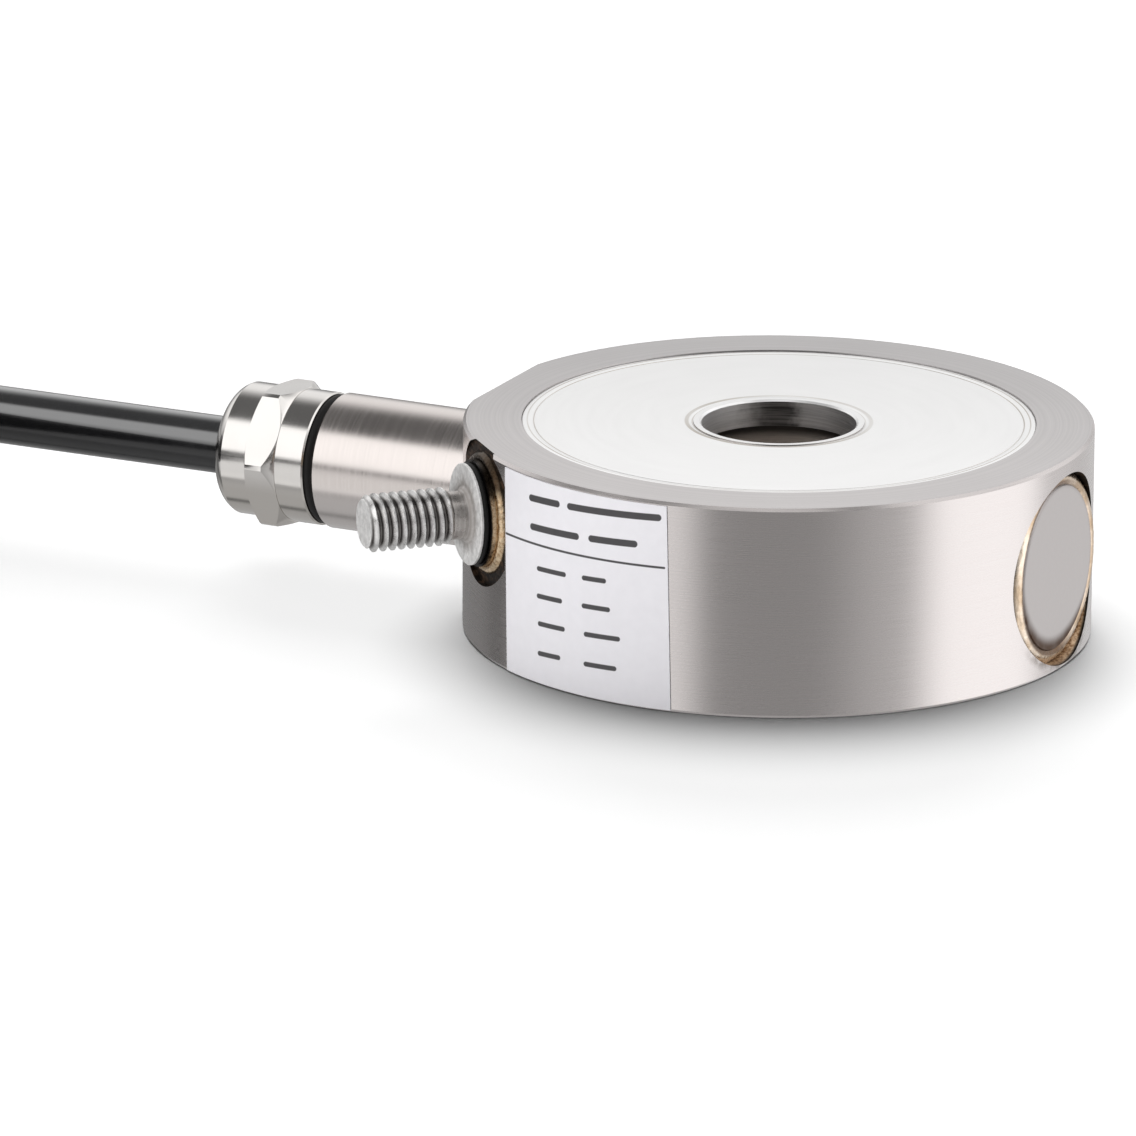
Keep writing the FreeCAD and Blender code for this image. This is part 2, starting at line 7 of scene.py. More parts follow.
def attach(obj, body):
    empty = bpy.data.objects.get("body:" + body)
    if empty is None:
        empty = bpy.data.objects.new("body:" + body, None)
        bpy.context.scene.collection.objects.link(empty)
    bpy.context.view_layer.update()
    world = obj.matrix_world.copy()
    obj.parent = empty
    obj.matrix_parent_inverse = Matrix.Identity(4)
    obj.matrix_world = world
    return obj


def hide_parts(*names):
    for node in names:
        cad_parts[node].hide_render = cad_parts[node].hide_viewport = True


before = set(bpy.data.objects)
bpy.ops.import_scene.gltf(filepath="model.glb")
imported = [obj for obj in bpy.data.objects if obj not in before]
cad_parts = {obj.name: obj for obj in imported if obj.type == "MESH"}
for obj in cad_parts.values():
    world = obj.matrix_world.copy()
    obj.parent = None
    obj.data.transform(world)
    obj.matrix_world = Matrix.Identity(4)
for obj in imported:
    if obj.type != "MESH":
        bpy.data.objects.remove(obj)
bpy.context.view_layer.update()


# Ring: the body of the load cell, one piece of stainless steel turned all over. The torsion web inside joins
# the outer rim to the collar round the bore. The flat for the cable tube and the two spotfaces are milled
# afterwards.
MM = 0.001
MERGE = 1e-7
WELD_FIT = 0.02
RING_RADIUS = 32.5
RING_HEIGHT = 22.0
RING_CHAMFER = 0.3
RIM_INNER_RADIUS = 26.5
RIM_STEP = 0.15
SHEET_THICKNESS = 0.5
SEAT_WIDTH = 1.5
SEAT_DEPTH = RIM_STEP + SHEET_THICKNESS
SEAT_EDGE_RADIUS = RIM_INNER_RADIUS - SEAT_WIDTH
BORE_RADIUS = 8.0
BORE_CHAMFER = 0.2
BORE_RIM_WIDTH = 0.8
BORE_RIM_RADIUS = BORE_RADIUS + BORE_RIM_WIDTH
BORE_LAND = 2.8
BORE_GROOVE_WIDTH = 2.6
BORE_GROOVE_DEPTH = 0.8
BORE_GROOVE_RADIUS = BORE_RADIUS + BORE_GROOVE_DEPTH
COLLAR_RADIUS = 11.0
WEB_THICKNESS = 5.0
WEB_TOP = (RING_HEIGHT + WEB_THICKNESS) / 2
WEB_BOTTOM = (RING_HEIGHT - WEB_THICKNESS) / 2
WEB_FILLET = 1.2
FLAT_DEPTH = 1.2
FLAT_DISTANCE = RING_RADIUS - FLAT_DEPTH
AXIS_HEIGHT = 11.0
TUBE_BEARING = 180
TUBE_SPIGOT_RADIUS = 5.5
TUBE_SPIGOT_LENGTH = 2.5
TUBE_SPIGOT_END = FLAT_DISTANCE - TUBE_SPIGOT_LENGTH
WIRE_WAY_RADIUS = 4.5
WIRE_WAY_END = 21.0
STUD_BEARING = 225
STUD_HEIGHT = 15.0
STUD_SPOTFACE_DEPTH = 0.6
STUD_SPOTFACE = RING_RADIUS - STUD_SPOTFACE_DEPTH
STUD_SPOTFACE_RADIUS = 7.6
PLUG_RADIUS = 5.5
PLUG_DEPTH = 3.5
PLUG_BEAD_WIDTH = 0.8
STUD_PORT_RADIUS = PLUG_RADIUS + WELD_FIT
STUD_PORT_END = STUD_SPOTFACE - PLUG_DEPTH
STUD_GROOVE_DEPTH = 0.3
STUD_GROOVE = STUD_SPOTFACE - STUD_GROOVE_DEPTH
STUD_GROOVE_RADIUS = STUD_PORT_RADIUS + PLUG_BEAD_WIDTH + WELD_FIT
STUD_WAY_RADIUS = 4.0
STUD_WAY_END = 23.8
COVER_BEARING = 0
COVER_HEIGHT = 10.4
COVER_SPOTFACE_DEPTH = 1.6
COVER_SPOTFACE = RING_RADIUS - COVER_SPOTFACE_DEPTH
COVER_SPOTFACE_RADIUS = 10.0
DISC_RADIUS = 8.75
COVER_SEAT_DEPTH = 1.5
COVER_SEAT = COVER_SPOTFACE - COVER_SEAT_DEPTH
COVER_SEAT_RADIUS = DISC_RADIUS + WELD_FIT
POCKET_STEP_DEPTH = 3.4
POCKET_STEP = COVER_SEAT - POCKET_STEP_DEPTH
POCKET_RADIUS = 7.0
POCKET_THROAT_RADIUS = 5.5
POCKET_END = 21.0
RECESS_START = 28.0
BEYOND = 40.0
OVERSIZE = 4
TOLERANCE = 0.01
RING_STEPS = 256
SMALL_STEPS = 96
FRONT_BEARING = -64.3
NEAR_SIDE = 10.0
SMUDGE_WIDTH = 1.1
SMUDGE_LOW = -8.5
SMUDGE_HIGH = -6.0
SMEAR_WANDER = 2.5
SMEAR_DARK = (-5.0, -0.6)
SMEAR_CLEAR = (1.0, 3.0)
STEP_EDGE = 0.05
STEP_SHADE_START = 0.5
STEP_SHADE_END = 1.8
GILT_DEPTH_START = 0.08
GILT_DEPTH_END = 0.5
GILT_LOW = 4.5
GILT_HIGH = 7.5
SLOPING = 0.3
NEARLY_LEVEL = 0.9


def draw(name, points):
    """Draw a chain of edges through points in millimetres, and stay in edit mode."""
    bpy.ops.object.select_all(action="DESELECT")
    bpy.ops.mesh.primitive_plane_add(size=MM)
    chain = bpy.context.object
    chain.name = name
    bpy.ops.object.mode_set(mode="EDIT")
    bpy.ops.mesh.merge(type="CENTER")
    stops = [Vector(point) * MM for point in points]
    bpy.ops.transform.translate(value=stops[0])
    for here, there in zip(stops, stops[1:]):
        bpy.ops.mesh.extrude_vertices_move(TRANSFORM_OT_translate={"value": there - here})
    bpy.ops.mesh.select_all(action="SELECT")
    return chain


def close_up():
    """Merge the doubles of the mesh in edit mode, turn its faces outwards, and leave edit mode."""
    bpy.ops.mesh.select_all(action="SELECT")
    bpy.ops.mesh.remove_doubles(threshold=MERGE)
    bpy.ops.mesh.normals_make_consistent(inside=False)
    bpy.ops.object.mode_set(mode="OBJECT")


def lathe(name, outline, steps=128):
    """Turn a section of (radius, height) corners about Z, closed unless both its ends are on the axis."""
    on_axis = outline[0][0] == 0 and outline[-1][0] == 0
    corners = outline if on_axis else outline + outline[:1]
    piece = draw(name, [(radius, 0, height) for radius, height in corners])
    bpy.ops.mesh.spin(steps=steps, angle=math.tau, center=(0, 0, 0), axis=(0, 0, 1))
    close_up()
    return piece


def arc(centre_r, centre_z, radius, start, end, parts=6):
    """The corners along an arc of a section, between two angles in degrees."""
    turns = [math.radians(start + (end - start) * part / parts) for part in range(parts + 1)]
    return [(centre_r + radius * math.cos(turn), centre_z + radius * math.sin(turn)) for turn in turns]


def pick(piece):
    """Make a piece the only one that the next operator acts on."""
    bpy.ops.object.select_all(action="DESELECT")
    piece.select_set(True)
    bpy.context.view_layer.objects.active = piece


def lay_on_radius(piece, bearing, height):
    """Turn a piece that was made along Z onto the ring's radius, with its place in its mesh."""
    piece.rotation_euler = (0, math.radians(90), math.radians(bearing))
    piece.location = (0, 0, height * MM)
    pick(piece)
    bpy.ops.object.transform_apply(location=True, rotation=True, scale=True)
    return piece


def machine(piece, operation, tool):
    """Cut a piece with a tool, or keep only what lies in both, and put the tool away."""
    cut = piece.modifiers.new("cut", "BOOLEAN")
    cut.operation = operation
    cut.solver = "EXACT"
    cut.object = tool
    pick(piece)
    bpy.ops.object.modifier_apply(modifier="cut")
    bpy.data.objects.remove(tool)


def smooth(piece, angle=30):
    """Smooth the curved faces, keep the edges sharp, and let the large faces stay even."""
    pick(piece)
    bpy.ops.object.shade_smooth_by_angle(angle=math.radians(angle))
    even = piece.modifiers.new("even", "WEIGHTED_NORMAL")
    even.keep_sharp = True
    bpy.ops.object.modifier_apply(modifier="even")


def dress(piece, finish, angle=30):
    """Give a piece its finish, and smooth it."""
    piece.data.materials.append(finish)
    smooth(piece, angle)


def fit(piece, slot, *nodes):
    """Put a finished piece on the object, in the place of its nodes."""
    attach(piece, "root")
    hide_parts(*nodes)


class Link:
    """A value in a node tree. Sums and products of links add the Math nodes that they need."""

    def __init__(self, tree, socket=None):
        self.tree = tree
        self.socket = socket

    def node(self, kind, settings=None, sockets=None, out=0):
        """Add a node with its settings, then with the values or links of its sockets."""
        made = self.tree.nodes.new(kind)
        for name, value in (settings or {}).items():
            setattr(made, name, value)
        self.plug(made, sockets or {})
        return Link(self.tree, made.outputs[out])

    def plug(self, made, sockets):
        """Set a node's sockets to values, or join them to links."""
        for name, value in sockets.items():
            if isinstance(value, Link):
                self.tree.links.new(value.socket, made.inputs[name])
            else:
                made.inputs[name].default_value = value

    def math(self, operation, first, second=0.0):
        """Add a Math node."""
        return self.node("ShaderNodeMath", {"operation": operation}, {0: first, 1: second})

    def __add__(self, other):
        return self.math("ADD", self, other)

    def __sub__(self, other):
        return self.math("SUBTRACT", self, other)

    def __rsub__(self, other):
        return self.math("SUBTRACT", other, self)

    def __mul__(self, other):
        return self.math("MULTIPLY", self, other)

    __radd__ = __add__
    __rmul__ = __mul__


def new_finish(name):
    """A new material, and the link to the coordinates of the piece that wears it."""
    finish = bpy.data.materials.new(name)
    finish.use_nodes = True
    return finish, Link(finish.node_tree).node("ShaderNodeTexCoord", out="Object")


def lay_finish(finish, link, sockets):
    """Set the sockets of a material's own shader."""
    link.plug(finish.node_tree.nodes["Principled BSDF"], sockets)


def axes(place):
    """The X, Y and Z of a vector, each as a link."""
    split = place.node("ShaderNodeSeparateXYZ", sockets={"Vector": place})
    outputs = split.socket.node.outputs
    return [Link(place.tree, outputs[axis]) for axis in "XYZ"]


def vector(x, y, z):
    """A vector of three links or numbers, the first of them a link."""
    return x.node("ShaderNodeCombineXYZ", sockets={"X": x, "Y": y, "Z": z})


def noise(place, scale, detail=2.0, rough=0.5):
    """Soft noise from 0 to 1."""
    sockets = {"Vector": place, "Scale": scale, "Detail": detail, "Roughness": rough}
    return place.node("ShaderNodeTexNoise", sockets=sockets)


def ease(value, low, high, start=0.0, end=1.0):
    """A smooth step from start to end while a value goes from low to high."""
    sockets = {"Value": value, "From Min": low, "From Max": high, "To Min": start, "To Max": end}
    return value.node("ShaderNodeMapRange", {"interpolation_type": "SMOOTHSTEP"}, sockets)


def fade(distance, low, high, start=0.0, end=1.0):
    """A smooth step while a distance goes between two lengths in millimetres."""
    return ease(distance, low * MM, high * MM, start, end)


def vary(speckle, low, high):
    """A value that follows a noise, from low to high."""
    return ease(speckle, 0.3, 0.7, low, high)


def tint(factor, first, second):
    """A colour between two colours."""
    return factor.node("ShaderNodeMix", {"data_type": "RGBA"}, {0: factor, 6: first, 7: second}, out=2)


def rgb(red, green, blue):
    """An opaque colour."""
    return (red, green, blue, 1.0)


def bump(height, depth, strength=1.0):
    """A normal that follows a height, with its depth in millimetres."""
    sockets = {"Height": height, "Distance": depth * MM, "Strength": strength}
    return height.node("ShaderNodeBump", sockets=sockets)


def across(x, y):
    """The distance from an axis, from the two coordinates across it."""
    return x.node("ShaderNodeVectorMath", {"operation": "LENGTH"}, {0: vector(x, y, 0.0)}, out="Value")


def port_axes(place, bearing, height):
    """The distance along a port's axis, and the level and upright distances across it."""
    return axes(place.node("ShaderNodeMapping", sockets={
        "Vector": place,
        "Location": (0.0, 0.0, -height * MM),
        "Rotation": (0.0, 0.0, -math.radians(bearing)),
    }))


def frontness(x, y):
    """The share of painted light, from 0 at the back of the ring to 1 at its front."""
    turn = math.radians(FRONT_BEARING)
    return fade(x * math.cos(turn) + y * math.sin(turn), -RING_RADIUS, RING_RADIUS)


def weld_grains(place):
    """The fine grains of steel that has melted."""
    return noise(place, 2600.0, 3.0, 0.6)


low_seat = SEAT_DEPTH
high_seat = RING_HEIGHT - SEAT_DEPTH
collar_top = RING_HEIGHT - RIM_STEP
groove_top = collar_top - BORE_LAND
groove_bottom = groove_top - BORE_GROOVE_WIDTH
ring = lathe("ring", [
    (RING_RADIUS - RING_CHAMFER, 0),
    (RING_RADIUS, RING_CHAMFER),
    (RING_RADIUS, RING_HEIGHT - RING_CHAMFER),
    (RING_RADIUS - RING_CHAMFER, RING_HEIGHT),
    (RIM_INNER_RADIUS, RING_HEIGHT),
    (RIM_INNER_RADIUS, high_seat),
    (SEAT_EDGE_RADIUS, high_seat),
    *arc(SEAT_EDGE_RADIUS - WEB_FILLET, WEB_TOP + WEB_FILLET, WEB_FILLET, 0, -90),
    *arc(COLLAR_RADIUS + WEB_FILLET, WEB_TOP + WEB_FILLET, WEB_FILLET, 270, 180),
    (COLLAR_RADIUS, high_seat),
    (BORE_RIM_RADIUS, high_seat),
    (BORE_RIM_RADIUS, collar_top),
    (BORE_RADIUS + BORE_CHAMFER, collar_top),
    (BORE_RADIUS, collar_top - BORE_CHAMFER),
    (BORE_RADIUS, groove_top),
    (BORE_GROOVE_RADIUS, groove_top),
    (BORE_GROOVE_RADIUS, groove_bottom),
    (BORE_RADIUS, groove_bottom),
    (BORE_RADIUS, RIM_STEP + BORE_CHAMFER),
    (BORE_RADIUS + BORE_CHAMFER, RIM_STEP),
    (BORE_RIM_RADIUS, RIM_STEP),
    (BORE_RIM_RADIUS, low_seat),
    (COLLAR_RADIUS, low_seat),
    *arc(COLLAR_RADIUS + WEB_FILLET, WEB_BOTTOM - WEB_FILLET, WEB_FILLET, 180, 90),
    *arc(SEAT_EDGE_RADIUS - WEB_FILLET, WEB_BOTTOM - WEB_FILLET, WEB_FILLET, 90, 0),
    (SEAT_EDGE_RADIUS, low_seat),
    (RIM_INNER_RADIUS, low_seat),
    (RIM_INNER_RADIUS, 0),
], RING_STEPS)
bpy.ops.object.select_all(action="DESELECT")
bpy.ops.mesh.primitive_cube_add(size=1)
flat_tool = bpy.context.object
flat_tool.scale = (BEYOND * MM, OVERSIZE * RING_RADIUS * MM, OVERSIZE * RING_HEIGHT * MM)
flat_tool.location = (-(FLAT_DISTANCE + BEYOND / 2) * MM, 0, 0)
bpy.ops.object.transform_apply(location=True, rotation=True, scale=True)
tube_tool = lathe("tube_tool", [
    (0, WIRE_WAY_END),
    (WIRE_WAY_RADIUS, WIRE_WAY_END),
    (WIRE_WAY_RADIUS, TUBE_SPIGOT_END),
    (TUBE_SPIGOT_RADIUS + WELD_FIT, TUBE_SPIGOT_END),
    (TUBE_SPIGOT_RADIUS + WELD_FIT, BEYOND),
    (0, BEYOND),
], SMALL_STEPS)
stud_tool = lathe("stud_tool", [
    (0, STUD_WAY_END),
    (STUD_WAY_RADIUS, STUD_WAY_END),
    (STUD_WAY_RADIUS, STUD_PORT_END),
    (STUD_PORT_RADIUS, STUD_PORT_END),
    (STUD_PORT_RADIUS, STUD_GROOVE),
    (STUD_GROOVE_RADIUS, STUD_GROOVE),
    (STUD_GROOVE_RADIUS, STUD_SPOTFACE),
    (STUD_SPOTFACE_RADIUS, STUD_SPOTFACE),
    (STUD_SPOTFACE_RADIUS, BEYOND),
    (0, BEYOND),
])
cover_tool = lathe("cover_tool", [
    (0, POCKET_END),
    (POCKET_THROAT_RADIUS, POCKET_END),
    (POCKET_THROAT_RADIUS, POCKET_STEP),
    (POCKET_RADIUS, POCKET_STEP),
    (POCKET_RADIUS, COVER_SEAT),
    (COVER_SEAT_RADIUS, COVER_SEAT),
    (COVER_SEAT_RADIUS, COVER_SPOTFACE),
    (COVER_SPOTFACE_RADIUS, COVER_SPOTFACE),
    (COVER_SPOTFACE_RADIUS, BEYOND),
    (0, BEYOND),
])
machine(ring, "DIFFERENCE", flat_tool)
machine(ring, "DIFFERENCE", lay_on_radius(tube_tool, TUBE_BEARING, AXIS_HEIGHT))
machine(ring, "DIFFERENCE", lay_on_radius(stud_tool, STUD_BEARING, STUD_HEIGHT))
machine(ring, "DIFFERENCE", lay_on_radius(cover_tool, COVER_BEARING, COVER_HEIGHT))

brushed_side, place = new_finish("brushed_side")
x, y, z = axes(place)
turn = x.math("ARCTAN2", y, x)
streaks = noise(vector(turn * 3.5, z * 5200.0, 0.0), 1.0, 5.0, 0.7)
scratches = noise(vector(turn * 20.0, z * 16000.0, 0.0), 1.0, 2.0, 0.6)
along, level, upright = port_axes(place, COVER_BEARING, COVER_HEIGHT)
smudge_end = COVER_SPOTFACE_RADIUS + SMUDGE_WIDTH
smudge = fade(across(level, upright), COVER_SPOTFACE_RADIUS, smudge_end, 0.75, 0.0)
smudge = smudge * fade(along, 0.0, NEAR_SIDE) * fade(upright, SMUDGE_LOW, SMUDGE_HIGH, 1.0, 0.0)
smudge = smudge * ease(noise(place, 900.0, 3.0), 0.3, 0.65)
brushed = tint(streaks, rgb(0.56, 0.523, 0.513), rgb(0.635, 0.597, 0.588))
lay_finish(brushed_side, place, {
    "Base Color": tint(smudge, brushed, rgb(0.20, 0.17, 0.15)),
    "Metallic": 1.0,
    "Roughness": ease(streaks + 0.3 * scratches, 0.3, 1.0, 0.24, 0.32),
    "Anisotropic": 0.6,
    "Anisotropic Rotation": 0.25,
    "Normal": bump(streaks + 0.6 * scratches, 0.0007),
})
turned_rim, place = new_finish("turned_rim")
x, y = axes(place)[:2]
cut_lines = noise(vector(across(x, y) * 1700.0, 0.0, 0.0), 1.0, 5.0, 0.75)
wander = noise(place, 60.0, 2.0)
ridges = ease(cut_lines, 0.3, 0.75)
# Painted light: the rim's colour is darker at the back of the ring and lighter at its front.
dull = tint(ridges, rgb(0.432, 0.415, 0.413), rgb(0.585, 0.565, 0.562))
clear = tint(ridges, rgb(0.55, 0.525, 0.52), rgb(0.71, 0.68, 0.675))
lay_finish(turned_rim, place, {
    "Base Color": tint(frontness(x, y), dull, clear),
    "Metallic": 1.0,
    "Roughness": ease(cut_lines + 0.3 * wander, 0.3, 1.0, 0.26, 0.42),
    "Normal": bump(cut_lines, 0.004),
})
collar_face, place = new_finish("collar_face")
x, y = axes(place)[:2]
face_lines = noise(vector(across(x, y) * 6000.0, 0.0, 0.0), 1.0, 3.0, 0.7)
lay_finish(collar_face, place, {
    "Base Color": tint(face_lines, rgb(0.86, 0.855, 0.85), rgb(0.97, 0.965, 0.96)),
    "Metallic": 1.0,
    "Roughness": vary(face_lines, 0.30, 0.42),
    "Normal": bump(face_lines, 0.001),
})
bore_wall, place = new_finish("bore_wall")
x, y, z = axes(place)
bore_lines = noise(vector(z * 3200.0, x * 90.0, y * 90.0), 1.0, 3.0, 0.7)
# Painted reflection: from the front, the land is light at left, dark in the middle, less dark at right.
front = math.radians(FRONT_BEARING)
wander = SMEAR_WANDER * MM * (noise(place, 900.0, 3.0, 0.6) - 0.5)
aside = y * math.cos(front) - x * math.sin(front) + wander
smear = fade(aside, *SMEAR_DARK, 0.0, 0.80) + fade(aside, *SMEAR_CLEAR, 0.0, -0.42)
on_land = fade(z, groove_top - STEP_EDGE, groove_top + STEP_EDGE)
# Painted shadow: the groove is painted darker towards the step of the land above it.
under_step = fade(z, groove_top - STEP_SHADE_END, groove_top - STEP_SHADE_START)
below_land = tint(under_step, rgb(0.64, 0.59, 0.55), rgb(0.05, 0.045, 0.04))
bore_shade = tint(on_land, below_land, rgb(0.96, 0.95, 0.95))
# The turning lines darken the wall a little, and the painted reflection darkens the land.
worn = ease(bore_lines, 0.35, 0.75, 0.0, 0.3) + smear * on_land
lay_finish(bore_wall, place, {
    "Base Color": tint(worn, bore_shade, rgb(0.08, 0.075, 0.075)),
    "Metallic": 1.0,
    "Roughness": ease(bore_lines, 0.3, 0.8, 0.40, 0.50),
    "Normal": bump(bore_lines, 0.004),
})
# Spotface walls and floors: near black, partly heat tint from the welds and partly painted shade in the
# recess.
scorched_steel, place = new_finish("scorched_steel")
x, y, z = axes(place)
soot = noise(vector(x * 700.0, y * 700.0, z * 2400.0), 1.0, 3.0, 0.6)
grains = weld_grains(place)
burnt = tint(ease(soot, 0.45, 0.8), rgb(0.006, 0.004, 0.003), rgb(0.07, 0.042, 0.026))
gilt = tint(ease(grains, 0.35, 0.65), rgb(0.30, 0.20, 0.13), rgb(0.82, 0.69, 0.54))
deep = fade(across(x, y), RING_RADIUS - GILT_DEPTH_END, RING_RADIUS - GILT_DEPTH_START, 1.0, 0.0)
gilded = deep * fade(x, 0.0, NEAR_SIDE) * fade(z, GILT_LOW, GILT_HIGH, 1.0, 0.0)
lay_finish(scorched_steel, place, {
    "Base Color": tint(gilded, burnt, gilt),
    "Metallic": gilded,
    "Roughness": vary(grains, 0.30, 0.46),
    "Specular IOR Level": 0.08,
    "Normal": bump(grains, 0.02),
})
RECESSES = [
    (STUD_BEARING, STUD_HEIGHT, STUD_SPOTFACE_RADIUS),
    (COVER_BEARING, COVER_HEIGHT, COVER_SPOTFACE_RADIUS),
]
RING_FINISHES = [brushed_side, turned_rim, collar_face, bore_wall, scorched_steel]


def in_recess(place, bearing, height, radius):
    """Whether a point in millimetres is on the machined faces of a port."""
    along, level, upright = Matrix.Rotation(math.radians(-bearing), 3, "Z") @ place
    return along > RECESS_START and math.hypot(level, upright - height) < radius + TOLERANCE


chamfer_inside = RING_RADIUS - 1.2 * RING_CHAMFER
for finish in RING_FINISHES:
    ring.data.materials.append(finish)
for face in ring.data.polygons:
    centre = face.center / MM
    inmost = min(ring.data.vertices[corner].co.xy.length for corner in face.vertices) / MM
    on_end = centre.z < TOLERANCE or centre.z > RING_HEIGHT - TOLERANCE
    near_end = centre.z < low_seat or centre.z > high_seat
    outermost = inmost > RING_RADIUS - 2 * TOLERANCE
    finish = brushed_side
    if not (on_end or outermost) and any(in_recess(centre, *port) for port in RECESSES):
        finish = scorched_steel
    elif inmost < BORE_RIM_RADIUS and near_end and abs(face.normal.z) > SLOPING:
        finish = collar_face
    elif inmost < COLLAR_RADIUS and not near_end:
        finish = bore_wall
    elif inmost < chamfer_inside and (near_end or abs(face.normal.z) > NEARLY_LEVEL):
        finish = turned_rim
    face.material_index = RING_FINISHES.index(finish)
smooth(ring)
fit(ring, "body_steel", "spring_body")


# Diaphragms: two thin rings of smooth steel sheet, let into the rim above and below. Their outer edge is
# welded to the rim and their inner edge to the collar, and the seams are ground nearly flush.
SHEET_EDGE_RADIUS = RIM_INNER_RADIUS - WELD_FIT
SHEET_INNER_RADIUS = BORE_RIM_RADIUS + WELD_FIT
SHEET_FACE = RING_HEIGHT - RIM_STEP
SHEET_UNDER = SHEET_FACE - SHEET_THICKNESS
SEAM_WIDTH = 1.2
SEAM_RISE = 0.05
SEAM_LINE = 0.1
SEAM_CROWN_START = 0.3
SEAM_CROWN_END = 0.7
INNER_SEAM_WIDTH = 0.6
INNER_SEAM_FOOT = 0.12
SEAM_LINES = [(8.92, 0.1), (9.5, 0.3), (25.25, 0.1), (25.9, 0.1)]
SEAM_LINE_CORE = 0.4
sheet_steel, place = new_finish("sheet_steel")
x, y = axes(place)[:2]
radius = across(x, y)
satin = noise(vector(radius * 1500.0, x.math("ARCTAN2", y, x) * 2.0, 0.0), 1.0, 2.0)
patches = ease(noise(vector(x, y, 0.0), 45.0, 2.0), 0.35, 0.65, 0.35, 1.0)
seam = 0.0
for line, half in SEAM_LINES:
    off_line = x.math("ABSOLUTE", radius - line * MM)
    seam = seam + fade(off_line, SEAM_LINE_CORE * half, half, 1.0, 0.0)
# Painted light: the sheet's colour is lighter towards the front of the ring.
sheen = tint(frontness(x, y), rgb(0.875, 0.87, 0.865), rgb(0.98, 0.975, 0.97))
lay_finish(sheet_steel, place, {
    "Base Color": tint(seam * patches, sheen, rgb(0.50, 0.455, 0.40)),
    "Metallic": 1.0,
    "Roughness": vary(satin, 0.30, 0.36),
    "Normal": bump(satin, 0.0004),
})
sheet_outline = [
    (SHEET_INNER_RADIUS, SHEET_UNDER),
    (SHEET_EDGE_RADIUS, SHEET_UNDER),
    (SHEET_EDGE_RADIUS, SHEET_FACE - SEAM_LINE),
    (SHEET_EDGE_RADIUS - SEAM_LINE, SHEET_FACE),
    (SHEET_EDGE_RADIUS - SEAM_CROWN_START * SEAM_WIDTH, SHEET_FACE + SEAM_RISE),
    (SHEET_EDGE_RADIUS - SEAM_CROWN_END * SEAM_WIDTH, SHEET_FACE + SEAM_RISE),
    (SHEET_EDGE_RADIUS - SEAM_WIDTH, SHEET_FACE),
    (SHEET_EDGE_RADIUS - SEAM_WIDTH - SEAM_LINE / 2, SHEET_FACE - SEAM_LINE / 2),
    (SHEET_EDGE_RADIUS - SEAM_WIDTH - SEAM_LINE, SHEET_FACE),
    (SHEET_INNER_RADIUS + INNER_SEAM_WIDTH, SHEET_FACE),
    (SHEET_INNER_RADIUS + INNER_SEAM_WIDTH / 2, SHEET_FACE - SEAM_LINE / 2),
    (SHEET_INNER_RADIUS + INNER_SEAM_FOOT, SHEET_FACE - SEAM_LINE),
    (SHEET_INNER_RADIUS, SHEET_FACE - SEAM_LINE),
]
under_outline = [(radius, RING_HEIGHT - height) for radius, height in sheet_outline]
top_sheet = lathe("top_sheet", sheet_outline, RING_STEPS)
bottom_sheet = lathe("bottom_sheet", under_outline, RING_STEPS)
for sheet, node in ((top_sheet, "top_diaphragm"), (bottom_sheet, "bottom_diaphragm")):
    dress(sheet, sheet_steel)
    fit(sheet, "diaphragm_steel", node)


# Strain gauges: four rings of etched metal foil on an amber film, glued to both faces of the torsion web.
# They are closed in by the diaphragms, and thin leads take their signal to the board.
GRID_PITCH = 0.35


def finish_nodes(finish, *nodes):
    """Give pieces that keep their shape from the frame a finish."""
    for node in nodes:
        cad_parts[node].material_slots[0].material = finish


def speckled(name, scale, detail, colours, roughness, depth, sockets=None):
    """A finish that follows one noise, with two colours, two roughnesses and a depth in millimetres."""
    finish, place = new_finish(name)
    speckle = noise(place, scale, detail)
    lay_finish(finish, place, {
        "Base Color": tint(speckle, *colours),
        "Roughness": vary(speckle, *roughness),
        "Normal": bump(speckle, depth),
        **(sockets or {}),
    })
    return finish


gauge_foil, place = new_finish("gauge_foil")
x, y = axes(place)[:2]
grid = x.math("SINE", across(x, y) * (math.tau / (GRID_PITCH * MM)), 0.0)
foil = ease(grid, -0.2, 0.2)
lay_finish(gauge_foil, place, {
    "Base Color": tint(foil, rgb(0.42, 0.25, 0.06), rgb(0.62, 0.58, 0.50)),
    "Metallic": foil,
    "Roughness": vary(noise(place, 900.0), 0.28, 0.40),
    "Normal": bump(foil, 0.01),
})
finish_nodes(gauge_foil, "gauge_upper_inner", "gauge_upper_outer", "gauge_lower_inner", "gauge_lower_outer")

wire_colours = (rgb(0.50, 0.17, 0.05), rgb(0.62, 0.26, 0.09))
wire_coat = {"Coat Weight": 0.3}
varnished_wire = speckled("varnished_wire", 400.0, 3.0, wire_colours, (0.30, 0.45), 0.01, wire_coat)
finish_nodes(varnished_wire, "gauge_leads", "core_leads")


# Terminal board: a round green board behind the side cover, with two trimming resistors soldered to it. The
# leads of the gauges and the cores of the cable end on it.
board_colours = (rgb(0.012, 0.11, 0.045), rgb(0.025, 0.17, 0.07))
board_green = speckled("board_green", 1600.0, 3.0, board_colours, (0.30, 0.42), 0.01)
finish_nodes(board_green, "terminal_board")

chip_colours = (rgb(0.012, 0.012, 0.014), rgb(0.04, 0.04, 0.045))
chip_black = speckled("chip_black", 3000.0, 2.0, chip_colours, (0.35, 0.55), 0.01)
finish_nodes(chip_black, "trim_resistors")


